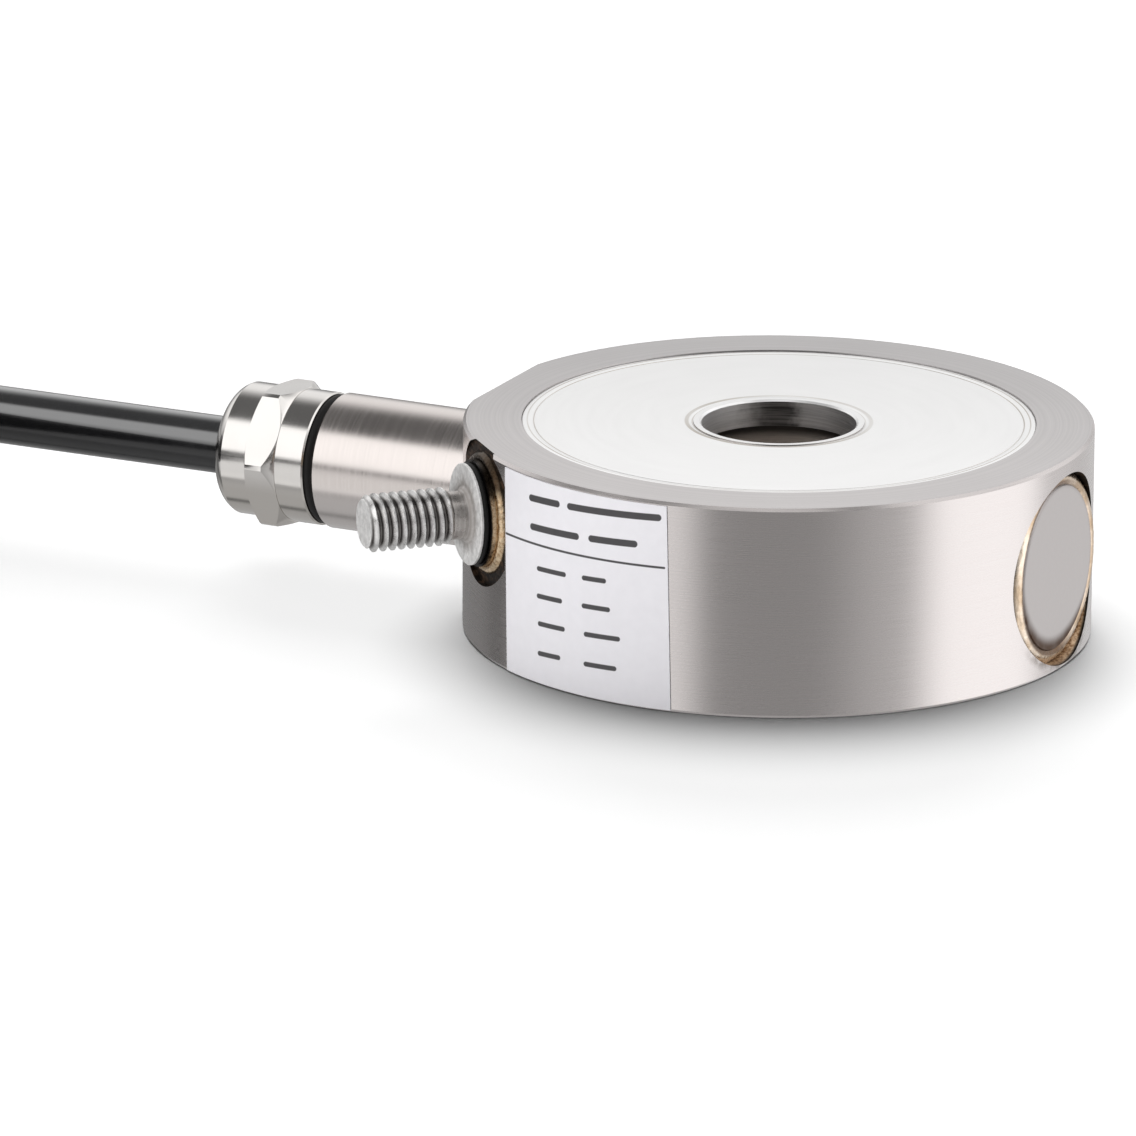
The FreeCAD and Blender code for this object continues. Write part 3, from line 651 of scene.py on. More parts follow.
# Side cover: a plain round steel disc that closes the port to the board. It is welded in all round. Its edge
# has a brown band, partly heat tint and partly painted shade, widest below.
DISC_STAND = 0.6
DISC_FACE = COVER_SPOTFACE + DISC_STAND
DISC_CHAMFER = 0.28
BURN_START = 8.0
BURN_START_BELOW = 6.7
BURN_WIDTH = 1.5
BURN_LEAN = -0.2
BEAD_WIDTH = 1.15
BEAD_INNER = 0.4
BEAD_CROWN = 0.6
BEAD_OUTER = 0.1
BEAD_GRAIN = 0.35
BEAD_LUMPS = 0.09
BEAD_STEPS = 256
BROWN_START = 0.15
BROWN_END = 0.5
BROWN_SIDE = 6.0


def bead_outline(inner, width, base, inner_height, crown_height, outer_height, lap=0.0, parts=16):
    """The section of a weld bead: a flat foot, and a crowned face that may lap over a chamfer inside it."""
    outline = [(inner, base), (inner + width, base)]
    crown = crown_height - (inner_height + outer_height) / 2
    for part in range(parts + 1):
        share = part / parts
        side = outer_height + (inner_height - outer_height) * share
        rise = side + 4 * crown * share * (1 - share)
        outline.append((inner + width - (width + lap) * share, base + rise))
    if lap:
        outline.append((inner, base + inner_height - lap))
    return outline


def roughen(piece, grain, lumps):
    """Give a weld bead its grains, of a width and a height in millimetres."""
    clouds = bpy.data.textures.new(piece.name, "CLOUDS")
    clouds.noise_scale = grain * MM
    displace = piece.modifiers.new("grains", "DISPLACE")
    displace.texture = clouds
    displace.texture_coords = "LOCAL"
    displace.strength = lumps * MM
    pick(piece)
    bpy.ops.object.modifier_apply(modifier="grains")


side_cover = lathe("side_cover", [
    (0, COVER_SEAT),
    (DISC_RADIUS, COVER_SEAT),
    (DISC_RADIUS, DISC_FACE - DISC_CHAMFER),
    (DISC_RADIUS - DISC_CHAMFER, DISC_FACE),
    (0, DISC_FACE),
])
lay_on_radius(side_cover, COVER_BEARING, COVER_HEIGHT)
cover_steel, place = new_finish("cover_steel")
level, upright = port_axes(place, COVER_BEARING, COVER_HEIGHT)[1:]
# The brown band at the edge is partly heat tint and partly painted shade; it widens towards the lower left.
leaning = (level * BURN_LEAN - upright) * (1 / (DISC_RADIUS * MM))
burn_start = ease(leaning, 0.1, 1.0, BURN_START * MM, BURN_START_BELOW * MM)
burn = fade(across(level, upright) - burn_start, 0.0, BURN_WIDTH)
burn = burn * ease(noise(place, 500.0, 3.0), 0.2, 0.6, 0.8, 1.0)
speckle = noise(place, 2500.0, 3.0, 0.6)
lay_finish(cover_steel, place, {
    "Base Color": tint(burn, rgb(0.56, 0.53, 0.523), rgb(0.09, 0.05, 0.03)),
    "Metallic": 1.0,
    "Roughness": vary(speckle, 0.44, 0.48),
    "Normal": bump(speckle, 0.0004),
})
dress(side_cover, cover_steel)
fit(side_cover, "cover_steel", "port_cover")

cover_bead = lathe("cover_bead", bead_outline(
    COVER_SEAT_RADIUS, BEAD_WIDTH, COVER_SPOTFACE, BEAD_INNER, BEAD_CROWN, BEAD_OUTER, DISC_CHAMFER
), BEAD_STEPS)
lay_on_radius(cover_bead, COVER_BEARING, COVER_HEIGHT)
roughen(cover_bead, BEAD_GRAIN, BEAD_LUMPS)
gold_weld, place = new_finish("gold_weld")
level, upright = port_axes(place, COVER_BEARING, COVER_HEIGHT)[1:]
browned = fade(across(level, upright) - COVER_SEAT_RADIUS * MM, BROWN_START, BROWN_END, 0.92, 0.0)
browned = browned * fade(level, 0.0, BROWN_SIDE, 1.0, 0.25)
grains = weld_grains(place)
stain = ease(noise(place, 260.0, 3.0, 0.6), 0.35, 0.7)
gilt = tint(stain, rgb(0.86, 0.74, 0.62), rgb(0.54, 0.40, 0.27))
lay_finish(gold_weld, place, {
    "Base Color": tint(browned, gilt, rgb(0.16, 0.09, 0.05)),
    "Metallic": 1.0,
    "Roughness": vary(grains, 0.24, 0.42),
    "Normal": bump(grains, 0.025),
})
dress(cover_bead, gold_weld, angle=60)
fit(cover_bead, "weld", "cover_weld")


# Stud plug: a round steel plug, welded into the ring to take the earth stud. The heat has left the bead
# gold, and brown to black above it. A black ring lies between the plug and the stud's flange.
PLUG_STAND = 1.25
PLUG_FACE = STUD_SPOTFACE + PLUG_STAND
PLUG_BEAD_INNER = 0.75
PLUG_BEAD_CROWN = 0.8
PLUG_BEAD_FOOT = 0.35
PLUG_BEAD_STEPS = 192
GOLD_WIDTH = 0.35
PLUG_BURN_DEPTH = 0.2
PLUG_BURN_WIDTH = 0.25
SOOT_LOW = 2.75
SOOT_HIGH = 5.25
SOOT_WANDER = 2.5
SOOT_SHARE = 0.94
GASKET_RADIUS = 5.3
GASKET_BULGE = 0.15
GASKET_HOLE = 3.02
GASKET_THICKNESS = 0.6
GASKET_END = PLUG_FACE + GASKET_THICKNESS


def clear_of_soot(upright, smoke):
    """How much of a weld's colour shows, less and less towards its top."""
    return 1 - SOOT_SHARE * fade(upright + SOOT_WANDER * MM * smoke, SOOT_LOW, SOOT_HIGH)


def bulged_ring(inner, outer, bulge, start, end):
    """The section of a rubber ring that is pressed between two faces, so that its outside bulges."""
    middle = (start + end) / 2
    return [
        (inner, start),
        (outer - bulge, start),
        (outer - 0.3 * bulge, (start + middle) / 2),
        (outer, middle),
        (outer - 0.3 * bulge, (end + middle) / 2),
        (outer - bulge, end),
        (inner, end),
    ]


plug_bead = lathe("plug_bead", bead_outline(
    STUD_PORT_RADIUS, PLUG_BEAD_WIDTH, STUD_GROOVE, PLUG_BEAD_INNER, PLUG_BEAD_CROWN, PLUG_BEAD_FOOT
), PLUG_BEAD_STEPS)
lay_on_radius(plug_bead, STUD_BEARING, STUD_HEIGHT)
roughen(plug_bead, BEAD_GRAIN, BEAD_LUMPS)
burnt_weld, place = new_finish("burnt_weld")
level, upright = port_axes(place, STUD_BEARING, STUD_HEIGHT)[1:]
smoke = noise(place, 500.0, 3.0, 0.6)
grains = weld_grains(place)
reach = across(level, upright) + GOLD_WIDTH * MM * smoke
gold = fade(reach, STUD_PORT_RADIUS, STUD_PORT_RADIUS + GOLD_WIDTH)
warm = tint(ease(grains, 0.35, 0.65), rgb(0.50, 0.34, 0.20), rgb(0.80, 0.63, 0.43))
lay_finish(burnt_weld, place, {
    "Base Color": tint(gold * clear_of_soot(upright, smoke), rgb(0.03, 0.018, 0.011), warm),
    "Metallic": 1.0,
    "Roughness": vary(grains, 0.22, 0.36),
    "Normal": bump(grains, 0.014),
})
dress(plug_bead, burnt_weld, angle=60)
fit(plug_bead, "weld", "stud_weld")

plug_tint, place = new_finish("plug_tint")
along, upright = port_axes(place, STUD_BEARING, STUD_HEIGHT)[::2]
smoke = noise(place, 500.0, 3.0, 0.6)
grains = weld_grains(place)
burn_start = PLUG_FACE - PLUG_BURN_DEPTH
outwards = along + PLUG_BURN_WIDTH * MM * smoke
streak = fade(outwards, burn_start, burn_start + PLUG_BURN_WIDTH, 1.0, 0.0)
warm = tint(ease(grains, 0.35, 0.65), rgb(0.46, 0.31, 0.18), rgb(0.74, 0.57, 0.38))
lay_finish(plug_tint, place, {
    "Base Color": tint(streak * clear_of_soot(upright, smoke), rgb(0.014, 0.011, 0.010), warm),
    "Metallic": 1.0,
    "Roughness": vary(grains, 0.24, 0.38),
    "Normal": bump(grains, 0.008),
})
finish_nodes(plug_tint, "stud_boss")

gasket_outline = bulged_ring(GASKET_HOLE, GASKET_RADIUS, GASKET_BULGE, PLUG_FACE, GASKET_END)
gasket = lathe("stud_ring", gasket_outline, SMALL_STEPS)
lay_on_radius(gasket, STUD_BEARING, STUD_HEIGHT)
rubber_colours = (rgb(0.004, 0.004, 0.004), rgb(0.011, 0.010, 0.010))
rubber_shine = {"Specular IOR Level": 0.3}
black_rubber = speckled("black_rubber", 700.0, 3.0, rubber_colours, (0.50, 0.66), 0.01, rubber_shine)
dress(gasket, black_rubber, angle=50)
fit(gasket, "black_rubber", "stud_gasket")


# Earth stud: a dull steel stud, turned with a thin flange and a plain neck. The outer end has an M6 thread,
# with a chamfered tip, and the inner end is screwed into the plug.
THREAD_RADIUS = 3.0
THREAD_ROOT = 2.42
THREAD_PITCH = 1.0
THREAD_CREST = 0.16
THREAD_SLOPE = 0.335
THREAD_TURNS = 11
THREAD_STEPS = 64
THREAD_MERGE = 1e-6
THREAD_RUN_IN = 1.2
THREAD_RUN_OUT = 0.2
STUD_GRIP = 3.2
STUD_GRIP_END = PLUG_FACE - STUD_GRIP
FLANGE_THICKNESS = 0.35
FLANGE_FACE = GASKET_END + FLANGE_THICKNESS
FLANGE_RADIUS = 5.25
FLANGE_EDGE = 0.08
NECK_RADIUS = 2.5
NECK_FILLET = 0.6
NECK_LENGTH = 1.8
NECK_END = FLANGE_FACE + NECK_LENGTH
STUD_LENGTH = 10.9
STUD_TIP = FLANGE_FACE + STUD_LENGTH
TIP_CHAMFER = 0.6
THREAD_START = NECK_END - THREAD_RUN_IN
THREAD_END = STUD_TIP + THREAD_RUN_OUT
STUD_OVERLAP = 0.1
ROD_SPARE = 0.05
FLANGE_DULL = (0.2, 0.7)
TIP_DULL = (0.25, 0.05)
GRIME_START = 0.4
GRIME_ROOT = 0.05
GRIME_FLANK = 0.22
STAIN_END = 0.6
STAIN_CORE = 3.2
STAIN_EDGE = 5.0
STAIN_WANDER = 1.2
earth_stud = lathe("earth_stud", [
    (0, STUD_GRIP_END),
    (THREAD_RADIUS, STUD_GRIP_END),
    (THREAD_RADIUS, GASKET_END),
    (FLANGE_RADIUS - FLANGE_EDGE, GASKET_END),
    (FLANGE_RADIUS, GASKET_END + FLANGE_EDGE),
    (FLANGE_RADIUS, FLANGE_FACE - FLANGE_EDGE),
    (FLANGE_RADIUS - FLANGE_EDGE, FLANGE_FACE),
    *arc(NECK_RADIUS + NECK_FILLET, FLANGE_FACE + NECK_FILLET, NECK_FILLET, 270, 180),
    (NECK_RADIUS, NECK_END + STUD_OVERLAP),
    (0, NECK_END + STUD_OVERLAP),
], SMALL_STEPS)
thread = draw("thread", [
    (THREAD_ROOT, 0, THREAD_START),
    (THREAD_RADIUS, 0, THREAD_START + THREAD_SLOPE),
    (THREAD_RADIUS, 0, THREAD_START + THREAD_SLOPE + THREAD_CREST),
    (THREAD_ROOT, 0, THREAD_START + 2 * THREAD_SLOPE + THREAD_CREST),
    (THREAD_ROOT, 0, THREAD_START + THREAD_PITCH),
])
bpy.ops.object.mode_set(mode="OBJECT")
winding = thread.modifiers.new("winding", "SCREW")
winding.angle = math.tau
winding.screw_offset = THREAD_PITCH * MM
winding.iterations = THREAD_TURNS
winding.steps = THREAD_STEPS
winding.render_steps = THREAD_STEPS
pick(thread)
bpy.ops.object.modifier_apply(modifier="winding")
bpy.ops.object.mode_set(mode="EDIT")
bpy.ops.mesh.select_all(action="SELECT")
bpy.ops.mesh.remove_doubles(threshold=THREAD_MERGE)
for end, outwards in ((NECK_END, -1), (THREAD_END, 1)):
    bpy.ops.mesh.select_all(action="SELECT")
    bpy.ops.mesh.bisect(
        plane_co=(0, 0, end * MM),
        plane_no=(0, 0, outwards),
        use_fill=True,
        clear_outer=True,
        threshold=MERGE,
    )
close_up()
chamfered_rod = lathe("chamfered_rod", [
    (0, NECK_END - STUD_OVERLAP),
    (THREAD_ROOT, NECK_END - STUD_OVERLAP),
    (THREAD_RADIUS, NECK_END + THREAD_RADIUS - NECK_RADIUS),
    (THREAD_RADIUS + ROD_SPARE, STUD_TIP - TIP_CHAMFER),
    (THREAD_RADIUS - TIP_CHAMFER, STUD_TIP),
    (0, STUD_TIP),
], SMALL_STEPS)
machine(thread, "INTERSECT", chamfered_rod)
machine(earth_stud, "UNION", thread)
lay_on_radius(earth_stud, STUD_BEARING, STUD_HEIGHT)
stud_steel, place = new_finish("stud_steel")
along, level, upright = port_axes(place, STUD_BEARING, STUD_HEIGHT)
radius = across(level, upright)
pickled = noise(place, 1500.0, 4.0, 0.65)
on_thread = fade(along, NECK_END, NECK_END + GRIME_START)
on_flange = fade(along, FLANGE_FACE + FLANGE_DULL[0], FLANGE_FACE + FLANGE_DULL[1], 1.0, 0.0)
on_tip = fade(along, STUD_TIP - TIP_DULL[0], STUD_TIP - TIP_DULL[1])
# Painted shade: the roots of the thread are painted dark, but not on the tip.
in_root = fade(radius, THREAD_ROOT + GRIME_ROOT, THREAD_RADIUS - GRIME_FLANK, 0.85, 0.0)
grime = on_thread * in_root * (1 - on_tip)
near_neck = fade(along, NECK_END, NECK_END + STAIN_END, 1.0, 0.0)
turning = noise(vector(along * 5200.0, 0.0, 0.0), 1.0, 3.0, 0.7)
stain = fade(radius + STAIN_WANDER * MM * pickled, STAIN_CORE, STAIN_EDGE, 0.9, 0.0)
stain = near_neck * stain * ease(turning, 0.3, 0.6, 1.0, 0.6)
bright = tint(vary(pickled, 0.0, 1.0), rgb(0.70, 0.69, 0.68), rgb(0.94, 0.93, 0.92))
stained = tint(stain, bright, rgb(0.30, 0.26, 0.235))
lay_finish(stud_steel, place, {
    "Base Color": tint(grime, stained, rgb(0.06, 0.05, 0.045)),
    "Metallic": 1 - 0.45 * on_tip - 0.5 * on_flange,
    "Roughness": vary(pickled, 0.24, 0.38) + 0.3 * (on_flange + on_tip),
    "Normal": bump(pickled, 0.010),
})
dress(earth_stud, stud_steel)
fit(earth_stud, "stud_steel", "ground_stud")


# Cable tube: a turned steel tube with a satin finish, welded to the flat with a small fillet. Its spigot
# sits in the ring, and its wide mouth takes the gland's bush.
TUBE_RADIUS = 7.15
TUBE_LENGTH = 19.4
TUBE_END = FLAT_DISTANCE + TUBE_LENGTH
TUBE_CHAMFER = 0.4
TUBE_BORE = 4.0
TUBE_MOUTH_RADIUS = 5.2
TUBE_MOUTH_DEPTH = 10.9
TUBE_MOUTH_END = TUBE_END - TUBE_MOUTH_DEPTH
FILLET_LEG = 0.5
FILLET_CURVE = [(0.6, 0.15), (0.36, 0.36), (0.15, 0.6)]
UPPER_START = 8.0
cable_tube = lathe("gland_tube", [
    (TUBE_BORE, TUBE_SPIGOT_END),
    (TUBE_SPIGOT_RADIUS, TUBE_SPIGOT_END),
    (TUBE_SPIGOT_RADIUS, FLAT_DISTANCE),
    (TUBE_RADIUS, FLAT_DISTANCE),
    (TUBE_RADIUS, TUBE_END - TUBE_CHAMFER),
    (TUBE_RADIUS - TUBE_CHAMFER, TUBE_END),
    (TUBE_MOUTH_RADIUS, TUBE_END),
    (TUBE_MOUTH_RADIUS, TUBE_MOUTH_END),
    (TUBE_BORE, TUBE_MOUTH_END),
])
lay_on_radius(cable_tube, TUBE_BEARING, AXIS_HEIGHT)
tube_steel, place = new_finish("tube_steel")
x, y, z = axes(place)
rings = noise(vector(x * 4200.0, y * 30.0, z * 30.0), 1.0, 4.0, 0.7)
cloud = noise(place, 180.0, 3.0)
# Painted light: the tube's colour is lighter above its axis and darker below it.
upper = fade(z, UPPER_START, AXIS_HEIGHT)
lit = tint(rings, rgb(0.60, 0.555, 0.53), rgb(0.73, 0.675, 0.65))
lay_finish(tube_steel, place, {
    "Base Color": tint(upper, rgb(0.60, 0.565, 0.548), lit),
    "Metallic": 1.0,
    "Roughness": ease(rings + 0.5 * cloud, 0.4, 1.1, 0.17, 0.27),
    "Normal": bump(rings, 0.002),
})
dress(cable_tube, tube_steel)
fit(cable_tube, "tube_steel", "cable_tube")

tube_bead = lathe("tube_bead", [
    (TUBE_RADIUS + WELD_FIT, FLAT_DISTANCE),
    (TUBE_RADIUS + FILLET_LEG, FLAT_DISTANCE),
    *[(TUBE_RADIUS + rise * FILLET_LEG, FLAT_DISTANCE + run * FILLET_LEG) for rise, run in FILLET_CURVE],
    (TUBE_RADIUS + WELD_FIT, FLAT_DISTANCE + FILLET_LEG),
])
lay_on_radius(tube_bead, TUBE_BEARING, AXIS_HEIGHT)
dress(tube_bead, gold_weld, angle=60)
fit(tube_bead, "tube_steel", "tube_weld")


# Gland: a nickel-plated dome nut with a hexagon turned down at its corners. It presses a black ring on the
# tube's end, and inside, a washer and a rubber bush on the cable.
SEAL_RADIUS = 6.9
SEAL_BULGE = 0.2
SEAL_THICKNESS = 1.3
SEAL_WIDTH = 0.85
NUT_START = TUBE_END + SEAL_WIDTH
NUT_COLLAR_RADIUS = 7.05
NUT_COLLAR_EDGE = 0.15
NUT_COLLAR_LENGTH = 3.25
HEX_LENGTH = 3.5
HEX_START = NUT_START + NUT_COLLAR_LENGTH
HEX_END = HEX_START + HEX_LENGTH
HEX_FLATS = 14.2
HEX_TURN = 32.7
HEX_CORNER_RADIUS = 8.05
HEX_COLLAR_CHAMFER = 48
HEX_NECK_CHAMFER = 30
HEX_EDGE = 0.06
HEX_EDGE_ANGLE = 20
HEX_OVERLAP = 0.2
HEX_SPARE = 1
HEX_STEPS = 192
NUT_NECK_RADIUS = 7.0
NUT_NECK_LENGTH = 2.8
DOME_LENGTH = 1.6
NUT_END = HEX_END + NUT_NECK_LENGTH + DOME_LENGTH
NUT_HOLE_RADIUS = 3.3
NUT_LIP_RADIUS = 4.6
NUT_SPIGOT_RADIUS = 5.15
NUT_SPIGOT_LENGTH = 4.95
NUT_SPIGOT_END = NUT_START - NUT_SPIGOT_LENGTH
seal_inner = SEAL_RADIUS - SEAL_THICKNESS
seal = lathe("gland_ring", bulged_ring(seal_inner, SEAL_RADIUS, SEAL_BULGE, TUBE_END, NUT_START))
lay_on_radius(seal, TUBE_BEARING, AXIS_HEIGHT)
dress(seal, black_rubber, angle=50)
fit(seal, "black_rubber", "gland_seal_ring")

dome_radius = ((NUT_NECK_RADIUS - NUT_LIP_RADIUS) ** 2 + DOME_LENGTH ** 2) / (2 * DOME_LENGTH)
dome_edge = math.degrees(math.asin(1 - DOME_LENGTH / dome_radius))
nut = lathe("dome_nut", [
    (NUT_HOLE_RADIUS, NUT_SPIGOT_END),
    (NUT_SPIGOT_RADIUS, NUT_SPIGOT_END),
    (NUT_SPIGOT_RADIUS, NUT_START),
    (NUT_COLLAR_RADIUS - NUT_COLLAR_EDGE, NUT_START),
    (NUT_COLLAR_RADIUS, NUT_START + NUT_COLLAR_EDGE),
    (NUT_COLLAR_RADIUS, HEX_START + HEX_OVERLAP),
    (NUT_NECK_RADIUS, HEX_END - HEX_OVERLAP),
    *arc(NUT_LIP_RADIUS, NUT_END - dome_radius, dome_radius, dome_edge, 90, parts=12),
    (NUT_HOLE_RADIUS, NUT_END),
])
bpy.ops.object.select_all(action="DESELECT")
bpy.ops.mesh.primitive_cylinder_add(
    vertices=6,
    radius=HEX_FLATS / 2 / math.cos(math.pi / 6) * MM,
    depth=HEX_LENGTH * MM,
    location=(0, 0, (HEX_START + HEX_END) / 2 * MM),
    rotation=(0, 0, math.radians(HEX_TURN + 90)),
)
hexagon = bpy.context.object
hexagon.name = "hexagon"
bpy.ops.object.transform_apply(location=True, rotation=True, scale=True)
corner_height = HEX_CORNER_RADIUS - HEX_FLATS / 2
collar_slope = corner_height * math.tan(math.radians(HEX_COLLAR_CHAMFER))
neck_slope = corner_height * math.tan(math.radians(HEX_NECK_CHAMFER))
corner_tool = lathe("corner_tool", [
    (0, HEX_START),
    (HEX_FLATS / 2, HEX_START),
    (HEX_CORNER_RADIUS, HEX_START + collar_slope),
    (HEX_CORNER_RADIUS, HEX_END - neck_slope),
    (HEX_FLATS / 2, HEX_END),
    (0, HEX_END),
], HEX_STEPS)
machine(hexagon, "INTERSECT", corner_tool)
rounding = hexagon.modifiers.new("rounding", "BEVEL")
rounding.width = HEX_EDGE * MM
rounding.segments = 2
rounding.limit_method = "ANGLE"
rounding.angle_limit = math.radians(HEX_EDGE_ANGLE)
pick(hexagon)
bpy.ops.object.modifier_apply(modifier="rounding")
hex_hole = lathe("hex_hole", [
    (0, HEX_START - HEX_SPARE),
    (NUT_HOLE_RADIUS, HEX_START - HEX_SPARE),
    (NUT_HOLE_RADIUS, HEX_END + HEX_SPARE),
    (0, HEX_END + HEX_SPARE),
])
machine(hexagon, "DIFFERENCE", hex_hole)
machine(nut, "UNION", hexagon)
lay_on_radius(nut, TUBE_BEARING, AXIS_HEIGHT)
nickel, place = new_finish("nickel")
x, y, z = axes(place)
tool_marks = noise(vector(x * 7000.0, y * 60.0, z * 60.0), 1.0, 3.0, 0.7)
plating = noise(place, 220.0, 3.0)
# Painted light: the nut's colour is lighter above its axis and darker below it.
upper = fade(z, UPPER_START, AXIS_HEIGHT)
lit = tint(plating, rgb(0.66, 0.635, 0.61), rgb(0.74, 0.72, 0.70))
lay_finish(nickel, place, {
    "Base Color": tint(upper, rgb(0.53, 0.505, 0.475), lit),
    "Metallic": 1.0,
    "Roughness": ease(tool_marks + 0.6 * plating, 0.4, 1.2, 0.11, 0.18),
    "Normal": bump(tool_marks, 0.002),
})
dress(nut, nickel, angle=24)
fit(nut, "nut_plating", "gland_nut")

finish_nodes(black_rubber, "seal_bush")
washer_colours = (rgb(0.55, 0.53, 0.48), rgb(0.63, 0.61, 0.56))
washer_plastic = speckled("washer_plastic", 600.0, 2.0, washer_colours, (0.40, 0.55), 0.01)
finish_nodes(washer_plastic, "thrust_washer")


# Label: a white film sticker, wrapped on the ring's side a little askew. It has a printed rule, two lines of
# a heading and four rows in two columns, all as plain bars.
LABEL_BEARING = -104.0
LABEL_FOOT = 0.2
LABEL_TOP = 21.6
LABEL_WIDTH = 21.75
LABEL_LEFT_FOOT = -10.6
LABEL_LEFT_TOP = -11.2
LABEL_THICKNESS = 0.12
LABEL_CUTS = 23
LABEL_STEPS = 72
INK_EDGE = 0.04
PRINT = [
    (-10.97, 10.46, 14.67, 15.15, 0.12),
    (-6.8, -2.2, 19.5, 19.75, 0.36),
    (-1.2, 10.0, 19.8, 20.35, 0.36),
    (-6.6, 0.4, 16.5, 16.85, 0.36),
    (1.6, 7.4, 16.95, 17.25, 0.36),
    (-5.5, -1.3, 12.3, 12.5, 0.26),
    (0.8, 3.8, 12.65, 12.8, 0.26),
    (-5.5, -1.8, 9.4, 9.6, 0.26),
    (0.8, 4.3, 9.7, 9.85, 0.26),
    (-5.3, -1.4, 6.5, 6.7, 0.26),
    (1.1, 5.5, 6.75, 6.95, 0.26),
    (-5.3, -2.0, 3.35, 3.55, 0.26),
    (1.1, 5.1, 3.6, 3.75, 0.26),
]


def on_side(across_side, height):
    """A point of the ring's side, from its distance along the side and its height in millimetres."""
    turn = math.radians(LABEL_BEARING) + across_side / RING_RADIUS
    return (RING_RADIUS * math.cos(turn), RING_RADIUS * math.sin(turn), height)


sticker = draw("sticker", [on_side(LABEL_LEFT_FOOT, LABEL_FOOT), on_side(LABEL_LEFT_TOP, LABEL_TOP)])
bpy.ops.mesh.subdivide(number_cuts=LABEL_CUTS)
bpy.ops.mesh.spin(steps=LABEL_STEPS, angle=-LABEL_WIDTH / RING_RADIUS, center=(0, 0, 0), axis=(0, 0, 1))
close_up()
film = sticker.modifiers.new("film", "SOLIDIFY")
film.thickness = LABEL_THICKNESS * MM
film.offset = 1.0
pick(sticker)
bpy.ops.object.modifier_apply(modifier="film")
label_film, place = new_finish("label_film")
x, y, z = axes(place)
sideways = (x.math("ARCTAN2", y, x) - math.radians(LABEL_BEARING)) * RING_RADIUS
height = z * (1 / MM)
ink = 0.0
for left, right, left_height, right_height, half in PRINT:
    slope = (right_height - left_height) / (right - left)
    beyond = x.math("MAXIMUM", x.math("MAXIMUM", left + half - sideways, sideways - right + half), 0.0)
    above = height - slope * sideways - (left_height - slope * left)
    stroke = ease(across(beyond, above), half - INK_EDGE, half + INK_EDGE, 1.0, 0.0)
    ink = x.math("MAXIMUM", ink, stroke)
paper = noise(place, 900.0, 3.0)
sheet_white = tint(paper, rgb(0.83, 0.815, 0.85), rgb(0.89, 0.875, 0.91))
lay_finish(label_film, place, {
    "Base Color": tint(ink, sheet_white, rgb(0.055, 0.052, 0.055)),
    "Roughness": vary(paper, 0.36, 0.46),
    "Normal": bump(paper, 0.003),
})
dress(sticker, label_film)
# The white film throws no light on the floor, so that the shadow at its foot stays as dark as beside it.
sticker.visible_diffuse = False
fit(sticker, "label_film", "label")


# Cable: a round black jacket over four cores and a shield, three metres long. It leaves the gland straight,
# and the length that isn't in use is wound in a tied coil, with its free end on top.
CABLE_RADIUS = 3.05
CABLE_EXIT = (-NUT_END, 0, AXIS_HEIGHT)
COIL_CENTRE = Vector((-132.0, -48.8, 0))
COIL_STEPS = 16
COIL_INNER = 24.4
COIL_OUTER = 48.8
COIL_TURNS = 4
LAYERS = [
    (COIL_OUTER, COIL_INNER, 3.85),
    (COIL_INNER, COIL_OUTER, 9.95),
    (COIL_OUTER, COIL_INNER, 16.05),
]
LEAD = [(-36, 0, 11), (-83.5, 0, 10.7), (-101, 0, 10.7), (-117, 0, 3.85)]
TAIL = [
    (0, 24.4, 16.05), (-12.4, 22.7, 18.55), (-23.3, 16.4, 20.85), (-31.0, 6.6, 22.15), (-34.8, -5.0, 22.15),
    (-34.3, -17.0, 22.15), (-29.4, -27.5, 22.15),
]
GLOSS_LOW = 11.3
GLOSS_HIGH = 12.1
STRAP_TOOTH = 0.9
CORE_SHADE = 0.8
swell = 1 / math.cos(math.pi / COIL_STEPS)
route = [Vector(point) for point in LEAD]
for start, end, height in LAYERS:
    for step in range(COIL_TURNS * COIL_STEPS):
        share = step / (COIL_TURNS * COIL_STEPS)
        turn = math.pi / 2 + math.tau * step / COIL_STEPS
        reach = (start + (end - start) * share) * swell
        route.append(COIL_CENTRE + Vector((reach * math.cos(turn), reach * math.sin(turn), height)))
route += [COIL_CENTRE + Vector(point) for point in TAIL]
line = bpy.data.curves.new("cable", "CURVE")
line.dimensions = "3D"
line.resolution_u = 6
line.bevel_depth = CABLE_RADIUS * MM
line.bevel_resolution = 10
line.use_fill_caps = True
spline = line.splines.new("NURBS")
spline.points.add(len(route) - 1)
for control, point in zip(spline.points, route):
    control.co = (*(point * MM), 1)
spline.order_u = 3
spline.use_endpoint_u = True
cable = bpy.data.objects.new("cable", line)
bpy.context.scene.collection.objects.link(cable)
jacket, place = new_finish("jacket")
skin = noise(place, 1200.0, 3.0)
wave = noise(place, 60.0, 2.0)
gloss = fade(axes(place)[2], GLOSS_LOW, GLOSS_HIGH)
lay_finish(jacket, place, {
    "Base Color": tint(wave, rgb(0.007, 0.007, 0.008), rgb(0.014, 0.014, 0.015)),
    "Roughness": ease(skin + 0.5 * wave, 0.4, 1.1, 0.17, 0.27),
    "Coat Weight": gloss,
    "Coat IOR": 2.2,
    "Coat Roughness": 0.1,
    "Normal": bump(skin, 0.006),
})
line.materials.append(jacket)
fit(cable, "cable_jacket", "cable_run", "cable_coil", "cable_tail")

